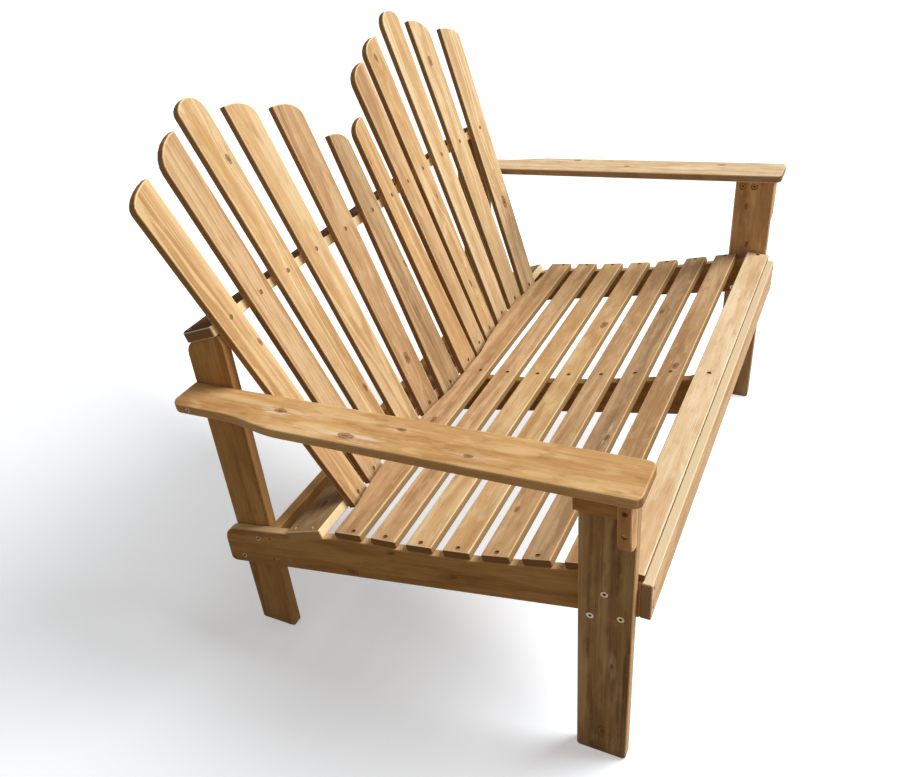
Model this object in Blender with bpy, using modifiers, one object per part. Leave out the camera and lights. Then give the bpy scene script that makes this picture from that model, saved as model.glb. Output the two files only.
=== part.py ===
"""Adirondack loveseat: a two-seat bench of hardwood boards, screwed and bolted together.

Run with: blender --background --python part.py

Metres, +Z up. X runs across the seat and the sitter looks along -Y. "Left" is the -X side, the
viewer's left from the front. Every board is first placed in a workshop frame, whose Y starts at
the front edge of the front legs and whose Z starts on the floor. At the end, one empty moves them
all, so that the origin lies on the floor under the middle of the whole object.

The back is built in a frame of its own, an empty that leans backwards: its X runs across, its Y
is the depth behind the front of the outermost back slats, and its Z runs up along the slats from
the underside of the lower back rail.
"""

import math

import bmesh
import bpy
from mathutils import Matrix, Vector

# Clearances
GAP = 0.0003
OVERRUN = 0.004

# Frame
FRAME_WIDTH = 1.120
SIDE_RAIL_THICKNESS = 0.0176
MIDDLE_RAIL_THICKNESS = 0.0176
RAIL_FRONT_OVERHANG = 0.0075
RAIL_FRONT_HEIGHT = 0.3874
RAIL_FRONT_DEPTH = 0.0699
RAIL_SLOPE = math.radians(11.0)
RAIL_TAIL_DEPTH = 0.0815
RAIL_TAIL_OVERHANG = 0.0195
RAIL_TAIL_TOP_RADIUS = 0.035
RAIL_TAIL_BOTTOM_RADIUS = 0.010

# Seat, slats counted from the front, slopes falling to the back
SEAT_DEPTH = 0.5154
SEAT_SLAT_WIDTH = 0.049
SEAT_SLAT_THICKNESS = 0.0142
SEAT_SLAT_INSET = 0.002
SEAT_SLAT_ARRIS = 0.0028
SEAT_SLOPES = [math.radians(angle) for angle in (-5.2, 13.2, 13.9, 12.9, 9.6, 8.6, 6.2, 8.0)]
SEAT_NOSE_SLOPE = math.radians(27.0)
REAR_SLAT_END_WIDTH = 0.0380
REAR_SLAT_BULGE = 0.0325
REAR_SLAT_CENTRE_BULGE = 0.0160
REAR_SLAT_BULGE_PLACE = 0.280

# Back frame
BACK_LEAN = math.radians(20.0)
SEAT_TO_BACK = 0.0340
SEAT_TO_BACK_DROP = 0.0078
BACK_RAIL_THICKNESS = 0.0185
BACK_RAIL_DEPTH = 0.0880
BACK_RAIL_SPACING = 0.4008
UPPER_RAIL_END_INSET = 0.0115
UPPER_RAIL_CORNER_RADIUS = 0.015

# Back slats
BACK_SLAT_THICKNESS = 0.0143
BACK_SLAT_ARRIS = 0.0020
BACK_SLAT_LOW_WIDTH = 0.0575
BACK_SLAT_HIGH_WIDTH = 0.0625
INNER_SLAT_LOW_WIDTH = 0.0700
INNER_SLAT_HIGH_WIDTH = 0.0545
BACK_SLAT_TAIL = 0.0032
BACK_SLAT_SEAT_MARGIN = 0.003
BACK_HEIGHT = 0.735
FAN_LOW_SIDE_MARGIN = 0.1029
FAN_HIGH_SIDE_MARGIN = 0.0365
FAN_LOW_CENTRE_GAP = 0.0250
FAN_HIGH_CENTRE_GAP = 0.0284
FAN_LOW_HOLLOW = 0.0118
FAN_HIGH_HOLLOW = 0.0217

# One value for each slat of a fan, from the outermost to the one next to the middle.
# Places are shares of the way from the inner slat to the outer one.
FAN_LOW_PLACE_SHARES = (1.0, 0.810, 0.607, 0.404, 0.213, 0.0)
FAN_HIGH_PLACE_SHARES = (1.0, 0.791, 0.597, 0.390, 0.195, 0.0)
FAN_LOW_DEPTH_SHARES = (-0.09, 0.74, 1.00, 0.90, 0.36, -0.52)
FAN_HIGH_DEPTH_SHARES = (0.20, 0.72, 0.98, 1.00, 0.53, 0.07)
FAN_TWISTS = [math.radians(angle) for angle in (8.8, 5.6, 2.0, -2.0, -5.2, -4.0)]
PEAK_SHARES = (0.890, 0.947, 1.000, 0.950, 0.900, 0.775)
# The highest point of a slat's top, from its outer edge at 0 to its inner edge at 1, and the
# fall from there to either edge, as shares of the slat's width.
APEX_SHARES = (1.0, 1.0, 0.5, 0.0, 0.0, 0.0)
OUTER_FALL_SHARES = (0.44, 0.75, 0.32, 0.0, 0.0, 0.0)
INNER_FALL_SHARES = (0.0, 0.0, 0.58, 0.60, 0.60, 0.56)

# Legs
FRONT_LEG_THICKNESS = 0.0204
FRONT_LEG_WIDTH = 0.0828
FRONT_LEG_TOE_RADIUS = 0.006
BACK_LEG_THICKNESS = 0.0189
BACK_LEG_WIDTH = 0.0806
BACK_LEG_LEAN = math.radians(0.95)
BACK_LEG_INSET = 0.0087
BACK_LEG_TOE_RADIUS = 0.012
BACK_LEG_HEEL_RADIUS = 0.005
BACK_LEG_TOP_RADIUS = 0.030
CROSS_RAIL_THICKNESS = 0.0185
CROSS_RAIL_WIDTH = 0.0775

# Arms, their cleats and brackets
ARM_THICKNESS = 0.0165
ARM_FRONT_HEIGHT = 0.5969
ARM_REAR_HEIGHT = 0.5648
ARM_FRONT_OVERHANG = 0.0137
ARM_FRONT_WIDTH = 0.0864
ARM_REAR_WIDTH = 0.0698
ARM_TAIL_LENGTH = 0.104
ARM_SWEEP_LENGTH = 0.120
ARM_FRONT_RADIUS = 0.013
ARM_REAR_RADIUS = 0.020
ARM_ARRIS = 0.0025
CLEAT_THICKNESS = 0.0220
CLEAT_LENGTH = 0.0640
CLEAT_HEIGHT = 0.0430
BRACKET_THICKNESS = 0.0195
BRACKET_REACH = 0.0370
BRACKET_HEIGHT = 0.1040
BRACKET_TOE_SHARE = 0.49
BRACKET_SHOULDER_REACH_SHARE = 0.92
BRACKET_SHOULDER_HEIGHT_SHARE = 0.62
BRACKET_TOE_HEIGHT_SHARE = 0.07

# Apron, whose top is lapped by the front slat
APRON_THICKNESS = 0.0163
APRON_WIDTH = 0.0699
APRON_TOP_DROP = 0.0005
APRON_LAP = 0.0033

# Softened edges of the rails and legs
BOARD_ARRIS = 0.0015

# Bolts, and the recesses of the wood screws
BOLT_HEAD_RADIUS = 0.0065
BOLT_HEAD_THICKNESS = 0.0018
BOLT_SHANK_RADIUS = 0.0030
BOLT_SOCKET_RADIUS = 0.0023
BOLT_SOCKET_DEPTH = 0.0030
BOLT_CAP_RADIUS = 0.0055
BOLT_CAP_THICKNESS = 0.0012
BOLT_EDGE_INSET = 0.0125
CLEAT_BOLT_RECESS_RADIUS = 0.0075
CLEAT_BOLT_RECESS_DEPTH = 0.0035
CLEAT_BOLT_DROP = 0.0160
ARM_SCREW_HEAD_RADIUS = 0.0048
ARM_SCREW_SHANK_RADIUS = 0.0025
ARM_SCREW_BITE_SHARE = 0.75
ARM_SCREW_REAR_INSET = 0.0365
SCREW_RECESS_RADIUS = 0.0045
SCREW_RECESS_DEPTH = 0.0025
RAIL_SCREW_INSET = 0.0116
BACK_SCREW_RISE = 0.0040
FRONT_LEG_BOLT_SHARES = ((0.52, 0.80), (0.77, 0.0), (0.215, 0.0))
BACK_LEG_BOLT_SHARES = ((0.26, 0.78), (0.81, 0.20))
CLEAT_BOLT_SHARES = (0.35, 0.74)
CROSS_SCREW_SHARES = (0.21, 0.85)
LOWER_RAIL_SCREW_SHARES = (0.30, 0.775)
UPPER_RAIL_SCREW_SHARE = 0.875
APRON_SCREW_SHARES = (0.23, 0.78)
BRACKET_SCREW_SHARES = (0.40, 0.80)

# Facets
ARC_STEP = math.radians(15.0)
SWEEP_STEPS = 10
TOP_STEPS = 6
BULGE_STEPS = 14
BOLT_SIDES = 12
RECESS_SIDES = 10
SOCKET_SIDES = 6

# Finishes: base colour, roughness and metallic value
OILED_WOOD = ((0.50, 0.31, 0.15), 0.55, 0.0)
SHADED_WOOD = ((0.30, 0.17, 0.08), 0.60, 0.0)
BRASSED_STEEL = ((0.62, 0.49, 0.30), 0.35, 1.0)

# Places that several pieces share
HALF_WIDTH = FRAME_WIDTH / 2
RAIL_INNER = HALF_WIDTH - SIDE_RAIL_THICKNESS
LEG_OUTER = HALF_WIDTH + GAP + FRONT_LEG_THICKNESS
BACK_LEG_OUTER = RAIL_INNER - GAP
BACK_LEG_INNER = BACK_LEG_OUTER - BACK_LEG_THICKNESS
SEAT_SLAT_PITCH = (SEAT_DEPTH - REAR_SLAT_END_WIDTH) / (len(SEAT_SLOPES) - 1)
SEAT_SLAT_SPACE = SEAT_SLAT_PITCH - SEAT_SLAT_WIDTH
LOWER_RAIL_BASE = 0.0
UPPER_RAIL_BASE = LOWER_RAIL_BASE + BACK_RAIL_SPACING
SIDES = {"left": -1, "right": 1}


def clear_scene():
    """Remove every object that the scene starts with."""
    for obj in list(bpy.data.objects):
        bpy.data.objects.remove(obj, do_unlink=True)


def make_collection(name, parent):
    collection = bpy.data.collections.new(name)
    parent.children.link(collection)
    return collection


def make_empty(name, parent, location, rotation):
    empty = bpy.data.objects.new(name, None)
    parts.objects.link(empty)
    empty.parent = parent
    empty.location = location
    empty.rotation_euler = rotation
    return empty


def make_finish(name, finish):
    """One Principled material from a colour, a roughness and a metallic value."""
    colour, roughness, metallic = finish
    material = bpy.data.materials.new(name)
    material.use_nodes = True
    shader = material.node_tree.nodes["Principled BSDF"]
    shader.inputs["Base Color"].default_value = (*colour, 1.0)
    shader.inputs["Roughness"].default_value = roughness
    shader.inputs["Metallic"].default_value = metallic
    return material


def outline_mesh(name, outline, thickness):
    """A flat board with this outline in XY and its thickness along Z, welded into one body."""
    curve = bpy.data.curves.new(name, "CURVE")
    curve.dimensions = "2D"
    curve.fill_mode = "BOTH"
    curve.extrude = thickness / 2
    spline = curve.splines.new("POLY")
    spline.points.add(len(outline) - 1)
    for point, (x, y) in zip(spline.points, outline):
        point.co = (x, y, 0.0, 1.0)
    spline.use_cyclic_u = True
    guide = bpy.data.objects.new(name, curve)
    bpy.context.scene.collection.objects.link(guide)
    graph = bpy.context.evaluated_depsgraph_get()
    mesh = bpy.data.meshes.new_from_object(guide.evaluated_get(graph))
    bpy.data.objects.remove(guide, do_unlink=True)
    bpy.data.curves.remove(curve)
    body = bmesh.new()
    body.from_mesh(mesh)
    bmesh.ops.remove_doubles(body, verts=body.verts, dist=GAP / 10)
    bmesh.ops.dissolve_limit(body, angle_limit=math.radians(0.5), verts=body.verts, edges=body.edges)
    bmesh.ops.recalc_face_normals(body, faces=body.faces)
    body.to_mesh(mesh)
    body.free()
    mesh.name = name
    return mesh


def box_mesh(name, size):
    """A box about its middle, from a unit cube that the size scales."""
    body = bmesh.new()
    bmesh.ops.create_cube(body, size=1, matrix=Matrix.Diagonal((*size, 1)))
    mesh = bpy.data.meshes.new(name)
    body.to_mesh(mesh)
    body.free()
    return mesh


def add_board(name, mesh, parent, location, rotation, finish, arris, segments):
    """Place a board on its parent, with softened arrises. Returns its object."""
    board = bpy.data.objects.new(name, mesh)
    parts.objects.link(board)
    board.parent = parent
    board.location = location
    board.rotation_euler = rotation
    mesh.materials.append(make_finish(name + "_finish", finish))
    bevel = board.modifiers.new("arris", "BEVEL")
    bevel.width = arris
    bevel.segments = segments
    bevel.limit_method = "ANGLE"
    bevel.angle_limit = math.radians(40.0)
    return board


def drill(board, name, holes):
    """Cut round holes that don't meet each other.

    holes lists (start, direction, length, radius, sides) in the frame of the board's parent.
    Each hole runs from its start along its direction, and begins an overrun before the start.
    """
    body = bmesh.new()
    for start, direction, length, radius, sides in holes:
        axis = Vector(direction).normalized()
        depth = length + OVERRUN
        middle = Vector(start) + axis * (length - OVERRUN) / 2
        turn = axis.to_track_quat("Z", "Y").to_matrix().to_4x4()
        bmesh.ops.create_cone(
            body,
            cap_ends=True,
            segments=sides,
            radius1=radius,
            radius2=radius,
            depth=depth,
            matrix=Matrix.Translation(middle) @ turn,
        )
    mesh = bpy.data.meshes.new(name)
    body.to_mesh(mesh)
    body.free()
    cutter = bpy.data.objects.new(name, mesh)
    cutters.objects.link(cutter)
    cutter.parent = board.parent
    cutter.hide_render = True
    cutter.display_type = "WIRE"
    cut = board.modifiers.new(name, "BOOLEAN")
    cut.operation = "DIFFERENCE"
    cut.object = cutter


def recess(start, direction, depth=SCREW_RECESS_DEPTH, radius=SCREW_RECESS_RADIUS):
    """The place of one wood screw's head."""
    return (start, direction, depth, radius, RECESS_SIDES)


def rounded(corners):
    """An outline from (x, y, radius) corners, each rounded by an arc of its radius."""
    outline = []
    count = len(corners)
    for index, (x, y, radius) in enumerate(corners):
        corner = Vector((x, y))
        if radius == 0:
            outline.append(corner)
            continue
        before = (Vector(corners[index - 1][:2]) - corner).normalized()
        after = (Vector(corners[(index + 1) % count][:2]) - corner).normalized()
        half = before.angle(after) / 2
        centre = corner + (before + after).normalized() * radius / math.sin(half)
        start = corner + before * radius / math.tan(half) - centre
        end = corner + after * radius / math.tan(half) - centre
        sweep = start.angle_signed(end)
        steps = max(2, round(abs(sweep) / ARC_STEP))
        for step in range(steps + 1):
            turn = Matrix.Rotation(-sweep * step / steps, 2)
            outline.append(centre + turn @ start)
    return outline


def rail_bottom(y):
    """Height of the lower edge of the seat rails."""
    front = RAIL_FRONT_HEIGHT - RAIL_FRONT_DEPTH
    return front - math.tan(RAIL_SLOPE) * (y + RAIL_FRONT_OVERHANG)


def seat_fronts():
    """Y of the front edge of each seat slat, from the front."""
    return [index * SEAT_SLAT_PITCH - RAIL_FRONT_OVERHANG for index in range(len(SEAT_SLOPES))]


def seat_contour():
    """The top of the seat rails as (y, z) points from the front end to under the rear slat.

    Each slat lies on a straight stretch, and the stretches meet midway between two slats.
    """
    y, z = -RAIL_FRONT_OVERHANG, RAIL_FRONT_HEIGHT
    contour = [(y, z)]
    nose = y + SEAT_SLAT_WIDTH * math.cos(SEAT_SLOPES[0])
    z -= math.tan(SEAT_SLOPES[0]) * (nose - y)
    y = nose
    contour.append((y, z))
    fronts = seat_fronts()
    ends = [front - SEAT_SLAT_SPACE / 2 for front in fronts[1:]]
    ends.append(fronts[-1] + REAR_SLAT_END_WIDTH)
    slopes = [SEAT_NOSE_SLOPE] + SEAT_SLOPES[1:]
    for end, slope in zip(ends, slopes):
        z -= math.tan(slope) * (end - y)
        y = end
        contour.append((y, z))
    return contour


def contour_height(y):
    """Height of the seat contour at y."""
    contour = seat_contour()
    for (y0, z0), (y1, z1) in zip(contour, contour[1:]):
        if y <= y1:
            break
    return z0 + (z1 - z0) * (y - y0) / (y1 - y0)


def back_origin():
    """Workshop (y, z) of the back frame: the front lower corner of the lower back rail."""
    y, z = seat_contour()[-1]
    return Vector((y + SEAT_TO_BACK, z - SEAT_TO_BACK_DROP))


def back_point(depth, rise):
    """Workshop (y, z) of a point of the back frame."""
    backward = Vector((math.cos(BACK_LEAN), -math.sin(BACK_LEAN)))
    upward = Vector((math.sin(BACK_LEAN), math.cos(BACK_LEAN)))
    return back_origin() + backward * depth + upward * rise


class BackSlat:
    """Place and outline of one back slat, in the back frame.

    index counts from the outermost slat, side is -1 for the left fan and 1 for the right one.
    """

    def __init__(self, index, side):
        inner = index == len(PEAK_SHARES) - 1
        self.side = side
        self.low_half = (INNER_SLAT_LOW_WIDTH if inner else BACK_SLAT_LOW_WIDTH) / 2
        self.high_half = (INNER_SLAT_HIGH_WIDTH if inner else BACK_SLAT_HIGH_WIDTH) / 2
        self.low = self.seat_point(
            FAN_LOW_PLACE_SHARES[index],
            (FAN_LOW_CENTRE_GAP + INNER_SLAT_LOW_WIDTH) / 2,
            RAIL_INNER - FAN_LOW_SIDE_MARGIN,
            FAN_LOW_HOLLOW * FAN_LOW_DEPTH_SHARES[index],
            LOWER_RAIL_BASE,
        )
        self.high = self.seat_point(
            FAN_HIGH_PLACE_SHARES[index],
            (FAN_HIGH_CENTRE_GAP + INNER_SLAT_HIGH_WIDTH) / 2,
            RAIL_INNER - FAN_HIGH_SIDE_MARGIN,
            FAN_HIGH_HOLLOW * FAN_HIGH_DEPTH_SHARES[index],
            UPPER_RAIL_BASE,
        )
        self.run = (self.high - self.low).length
        self.along = (self.high - self.low).normalized()
        front = Vector((0, -1, 0))
        front = (front - self.along * front.dot(self.along)).normalized()
        twist = Matrix.Rotation(-side * FAN_TWISTS[index], 3, self.along)
        self.front = twist @ front
        self.across = self.along.cross(self.front)
        self.peak = BACK_HEIGHT * PEAK_SHARES[index]
        self.apex_share = APEX_SHARES[index]
        self.outer_fall = 2 * self.high_half * OUTER_FALL_SHARES[index]
        self.inner_fall = 2 * self.high_half * INNER_FALL_SHARES[index]

    def seat_point(self, place_share, inner_place, outer_place, depth, rail_base):
        """Where the middle of the slat's front face crosses the middle of a back rail."""
        place = inner_place + (outer_place - inner_place) * place_share
        rise = rail_base + BACK_RAIL_THICKNESS / 2
        return Vector((self.side * place, depth, rise))

    def half_width(self, length):
        """Half the slat's width, at a length along it from its lower seat."""
        return self.low_half + (self.high_half - self.low_half) * length / self.run

    def back_depth(self, across, rise):
        """Depth of the slat's back face in the back frame, with its clearance."""
        offset = BACK_SLAT_THICKNESS + GAP
        lead = self.front.x * (across - self.low.x) + self.front.z * (rise - self.low.z)
        return self.low.y - (offset + lead) / self.front.y

    def edge(self, rise, outward):
        """X of an edge of the slat at a rise: outward is 1 for the outer edge, -1 for the inner."""
        length = (rise - self.low.z) / self.along.z
        middle = self.low.x + self.along.x * length
        return middle + self.side * outward * self.half_width(length) / self.along.z

    def top_points(self):
        """The shaped top as (across, along) points, from the outer edge to the inner one.

        Quarter ellipses fall from the apex to either edge.
        """
        half = self.half_width(self.peak)
        apex = 2 * half * self.apex_share
        points = []
        if self.apex_share > 0:
            for step in range(TOP_STEPS):
                angle = math.pi / 2 * step / TOP_STEPS
                out = apex * math.cos(angle)
                points.append((apex - out, self.peak - self.outer_fall * (1 - math.sin(angle))))
        points.append((apex, self.peak))
        if self.apex_share < 1:
            for step in range(TOP_STEPS):
                angle = math.pi / 2 * (step + 1) / TOP_STEPS
                out = (2 * half - apex) * math.sin(angle)
                points.append((apex + out, self.peak - self.inner_fall * (1 - math.cos(angle))))
        return [(self.side * (half - out), along) for out, along in points]

    def outline(self):
        """The whole outline, whose foot is cut level with the back rails."""
        foot = LOWER_RAIL_BASE - BACK_SLAT_TAIL - self.low.z
        half = self.half_width(foot)
        inner = (-self.side * half, (foot + self.side * half * self.across.z) / self.along.z)
        outer = (self.side * half, (foot - self.side * half * self.across.z) / self.along.z)
        return [inner, outer] + self.top_points()

    def placement(self):
        """Rotation and middle of the board's thickness at its lower seat, in the back frame."""
        turn = Matrix((self.across, self.along, self.front)).transposed()
        return self.low - self.front * BACK_SLAT_THICKNESS / 2, turn.to_euler()


def fan_slats(side):
    return [BackSlat(index, side) for index in range(len(PEAK_SHARES))]


def all_slats():
    """Both fans, from the left end to the right end."""
    return fan_slats(SIDES["left"]) + fan_slats(SIDES["right"])[::-1]


def build_back_slats(back):
    for side_name, side in SIDES.items():
        for index, slat in enumerate(fan_slats(side)):
            name = f"back_slat_{side_name}_{index + 1}"
            mesh = outline_mesh(name, slat.outline(), BACK_SLAT_THICKNESS)
            location, rotation = slat.placement()
            board = add_board(
                name, mesh, back, location, rotation, OILED_WOOD, BACK_SLAT_ARRIS, 2
            )
            up = slat.along * BACK_SCREW_RISE
            holes = [recess(seat + up, -slat.front) for seat in (slat.low, slat.high)]
            drill(board, name + "_screw_recesses", holes)


def scalloped_front(base):
    """The front edge of a back rail: a flat seat for each slat, from left to right."""
    middle = base + BACK_RAIL_THICKNESS / 2
    points = []
    for slat in all_slats():
        edges = sorted((slat.edge(middle, -1), slat.edge(middle, 1)))
        margins = (-BACK_SLAT_SEAT_MARGIN, BACK_SLAT_SEAT_MARGIN)
        for edge, margin in zip(edges, margins):
            across = edge + margin
            depths = [slat.back_depth(across, base + rise) for rise in (0, BACK_RAIL_THICKNESS)]
            points.append((across, max(depths), 0))
    return points


def extended_front(base, half):
    """The scalloped front edge, carried on square to both ends of the rail."""
    points = scalloped_front(base)
    return [(-half, points[0][1], 0)] + points + [(half, points[-1][1], 0)]


def build_back_rail(name, back, base, half, corner_radius, screw_places):
    """A board across the back, its front edge cut to the slats and its rear edge straight."""
    corners = extended_front(base, half)
    corners += [(half, BACK_RAIL_DEPTH, corner_radius), (-half, BACK_RAIL_DEPTH, corner_radius)]
    mesh = outline_mesh(name, rounded(corners), BACK_RAIL_THICKNESS)
    middle = base + BACK_RAIL_THICKNESS / 2
    board = add_board(name, mesh, back, (0, 0, middle), (0, 0, 0), OILED_WOOD, BOARD_ARRIS, 1)
    top = base + BACK_RAIL_THICKNESS
    holes = []
    for side in SIDES.values():
        for across, depth in screw_places:
            holes.append(recess((side * across, depth, top), (0, 0, -1)))
    drill(board, name + "_screw_recesses", holes)


def build_back_rails(back):
    rail_middle = HALF_WIDTH - RAIL_SCREW_INSET
    lower_screws = [(rail_middle, BACK_RAIL_DEPTH * share) for share in LOWER_RAIL_SCREW_SHARES]
    build_back_rail("lower_back_rail", back, LOWER_RAIL_BASE, HALF_WIDTH, 0, lower_screws)
    leg_middle = (BACK_LEG_INNER + BACK_LEG_OUTER) / 2
    upper_screws = [(leg_middle, BACK_RAIL_DEPTH * UPPER_RAIL_SCREW_SHARE)]
    half = HALF_WIDTH - UPPER_RAIL_END_INSET
    build_back_rail(
        "upper_back_rail", back, UPPER_RAIL_BASE, half, UPPER_RAIL_CORNER_RADIUS, upper_screws
    )


def back_leg_corners():
    """Workshop (y, z) corners of the back legs: toe, heel, rear top and front top.

    The leg is cut parallel to the underside of the upper back rail, which stands on it.
    """
    top_front = back_point(BACK_LEG_INSET, UPPER_RAIL_BASE - GAP)
    cut = BACK_LEG_WIDTH / math.cos(BACK_LEAN - BACK_LEG_LEAN)
    top_rear = top_front + Vector((math.cos(BACK_LEAN), -math.sin(BACK_LEAN))) * cut
    toe = Vector((top_front.x - math.tan(BACK_LEG_LEAN) * top_front.y, 0))
    heel = Vector((top_rear.x - math.tan(BACK_LEG_LEAN) * top_rear.y, 0))
    return toe, heel, top_rear, top_front


def slat_relief():
    """Workshop (y, z) points of the cut that clears the outermost slat from the leg's top.

    Without a cut, this is the front top corner alone.
    """
    slat = BackSlat(0, SIDES["right"])
    top = UPPER_RAIL_BASE - GAP
    inset = slat.back_depth(BACK_LEG_INNER, top)
    if inset <= BACK_LEG_INSET:
        return [back_leg_corners()[3]]
    lean = -slat.front.z / slat.front.y
    drop = (inset - BACK_LEG_INSET) / (math.tan(BACK_LEAN - BACK_LEG_LEAN) + lean)
    return [back_point(inset, top), back_point(inset - drop * lean, top - drop)]


def leg_front_edge(z):
    """Y of the front edge of the back legs at a height."""
    return back_leg_corners()[0].x + math.tan(BACK_LEG_LEAN) * z


def leg_rear_edge(z):
    """Y of the rear edge of the back legs at a height."""
    return back_leg_corners()[1].x + math.tan(BACK_LEG_LEAN) * z


def tail_end():
    """Y of the rear end of the side rails."""
    return leg_rear_edge(RAIL_FRONT_HEIGHT / 2) + RAIL_TAIL_OVERHANG


def tail_top(y):
    """Height of the top edge of the rails behind the notch."""
    return rail_bottom(y) + RAIL_TAIL_DEPTH / math.cos(RAIL_SLOPE)


def notch_points():
    """The notch for the lower back rail, from its rear wall's top to its front.

    Its floor and its rear wall lie a clearance off the rail's two faces. The wall ends where it
    meets the top edge of the rail's tail.
    """
    floor = LOWER_RAIL_BASE - GAP
    foot = back_point(BACK_RAIL_DEPTH + GAP, floor)
    closing = math.cos(BACK_LEAN) + math.tan(RAIL_SLOPE) * math.sin(BACK_LEAN)
    lift = (tail_top(foot.x) - foot.y) / closing
    wall_top = back_point(BACK_RAIL_DEPTH + GAP, floor + lift)
    front = back_point(0, floor)
    return [(*wall_top, 0), (*foot, 0), (*front, 0)]


def rail_front():
    """Y of the front ends of the seat rails, under the front slat."""
    return -RAIL_FRONT_OVERHANG + APRON_LAP


def rail_contour():
    """The seat contour as corners of a rail's outline, from the rear to the rail's front end."""
    front = rail_front()
    corners = [(y, z, 0) for y, z in reversed(seat_contour()) if y > front]
    return corners + [(front, contour_height(front), 0)]


def cross_rail_front(z):
    """Y of the front face of the rear cross rail at a height."""
    cover = (CROSS_RAIL_THICKNESS + GAP) / math.cos(BACK_LEG_LEAN)
    return leg_front_edge(z) - cover


def side_rail_outline():
    """Workshop (y, z) outline of a side rail."""
    front = rail_front()
    rear = tail_end()
    corners = [
        (front, rail_bottom(front), 0),
        (rear, rail_bottom(rear), RAIL_TAIL_BOTTOM_RADIUS),
        (rear, tail_top(rear), RAIL_TAIL_TOP_RADIUS),
    ]
    corners += notch_points()
    corners += rail_contour()
    return rounded(corners)


def middle_rail_outline():
    """The same outline, ended square against the rear cross rail."""
    front = rail_front()
    rear = cross_rail_front(rail_bottom(tail_end())) - GAP
    foot = rail_bottom(rear)
    head = tail_top(rear)
    corners = [
        (front, rail_bottom(front), 0),
        (cross_rail_front(foot) - GAP, foot, 0),
        (cross_rail_front(head) - GAP, head, 0),
    ]
    corners += notch_points()
    corners += rail_contour()
    return rounded(corners)


def add_upright_board(name, base, outline, thickness, middle, finish):
    """A board whose (y, z) outline stands in a plane across X, at the X of its middle."""
    mesh = outline_mesh(name, outline, thickness)
    turn = (math.pi / 2, 0, math.pi / 2)
    return add_board(name, mesh, base, (middle, 0, 0), turn, finish, BOARD_ARRIS, 1)


def front_leg_bolt_places():
    """Workshop (y, z) of the bolts that hold a front leg to its side rail."""
    places = []
    for across_share, up_share in FRONT_LEG_BOLT_SHARES:
        y = FRONT_LEG_WIDTH * across_share
        low = rail_bottom(y) + BOLT_EDGE_INSET
        high = contour_height(y) - BOLT_EDGE_INSET
        places.append((y, low + (high - low) * up_share))
    return places


def back_leg_bolt_places():
    """Workshop (y, z) of the bolts that hold a side rail to its back leg."""
    places = []
    for across_share, up_share in BACK_LEG_BOLT_SHARES:
        y = leg_front_edge(RAIL_FRONT_HEIGHT / 2) + BACK_LEG_WIDTH * across_share
        places.append((y, rail_bottom(y) + (tail_top(y) - rail_bottom(y)) * up_share))
    return places


def arm_front():
    return -ARM_FRONT_OVERHANG


def arm_rear():
    """Y of the rear end of the arms, flush with the back legs."""
    return leg_rear_edge(ARM_REAR_HEIGHT)


def arm_slope():
    """Angle by which the arms fall to the back."""
    return math.atan2(ARM_FRONT_HEIGHT - ARM_REAR_HEIGHT, arm_rear() - arm_front())


def under_arm(y):
    """Height just under the arm, a clearance below it."""
    top = ARM_FRONT_HEIGHT - math.tan(arm_slope()) * (y - arm_front())
    return top - (ARM_THICKNESS + GAP) / math.cos(arm_slope())


def cleat_bolt_places():
    """Workshop (y, z) of the bolts through a front leg into its arm cleat."""
    places = []
    for share in CLEAT_BOLT_SHARES:
        y = BRACKET_THICKNESS + GAP + CLEAT_LENGTH * share
        places.append((y, under_arm(y) - CLEAT_BOLT_DROP))
    return places


def arm_screw_place():
    """Workshop (y, z) of the screw through the arm's outer edge into the back leg."""
    y = arm_rear() - ARM_SCREW_REAR_INSET
    return y, under_arm(y) + (GAP + ARM_THICKNESS / 2) / math.cos(arm_slope())


def build_side_rail(base, side_name, side):
    name = f"side_rail_{side_name}"
    middle = side * (HALF_WIDTH - SIDE_RAIL_THICKNESS / 2)
    outline = side_rail_outline()
    board = add_upright_board(name, base, outline, SIDE_RAIL_THICKNESS, middle, SHADED_WOOD)
    inward = (-side, 0, 0)
    face = side * HALF_WIDTH
    through = SIDE_RAIL_THICKNESS + OVERRUN
    radius = BOLT_SHANK_RADIUS + GAP
    places = front_leg_bolt_places() + back_leg_bolt_places()
    holes = [((face, y, z), inward, through, radius, BOLT_SIDES) for y, z in places]
    drill(board, name + "_bolt_holes", holes)
    radius = BOLT_HEAD_RADIUS + GAP
    holes = []
    for y, z in back_leg_bolt_places():
        holes.append(((face, y, z), inward, BOLT_HEAD_THICKNESS + GAP, radius, BOLT_SIDES))
    middle_height = rail_bottom(cross_rail_front(0)) + CROSS_RAIL_WIDTH / 2
    y = cross_rail_front(middle_height) + CROSS_RAIL_THICKNESS / 2
    for share in CROSS_SCREW_SHARES:
        z = rail_bottom(y) + CROSS_RAIL_WIDTH * share
        holes.append(recess((face, y, z), inward))
    drill(board, name + "_recesses", holes)


def build_middle_rail(base):
    outline = middle_rail_outline()
    add_upright_board("middle_rail", base, outline, MIDDLE_RAIL_THICKNESS, 0, SHADED_WOOD)


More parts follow.
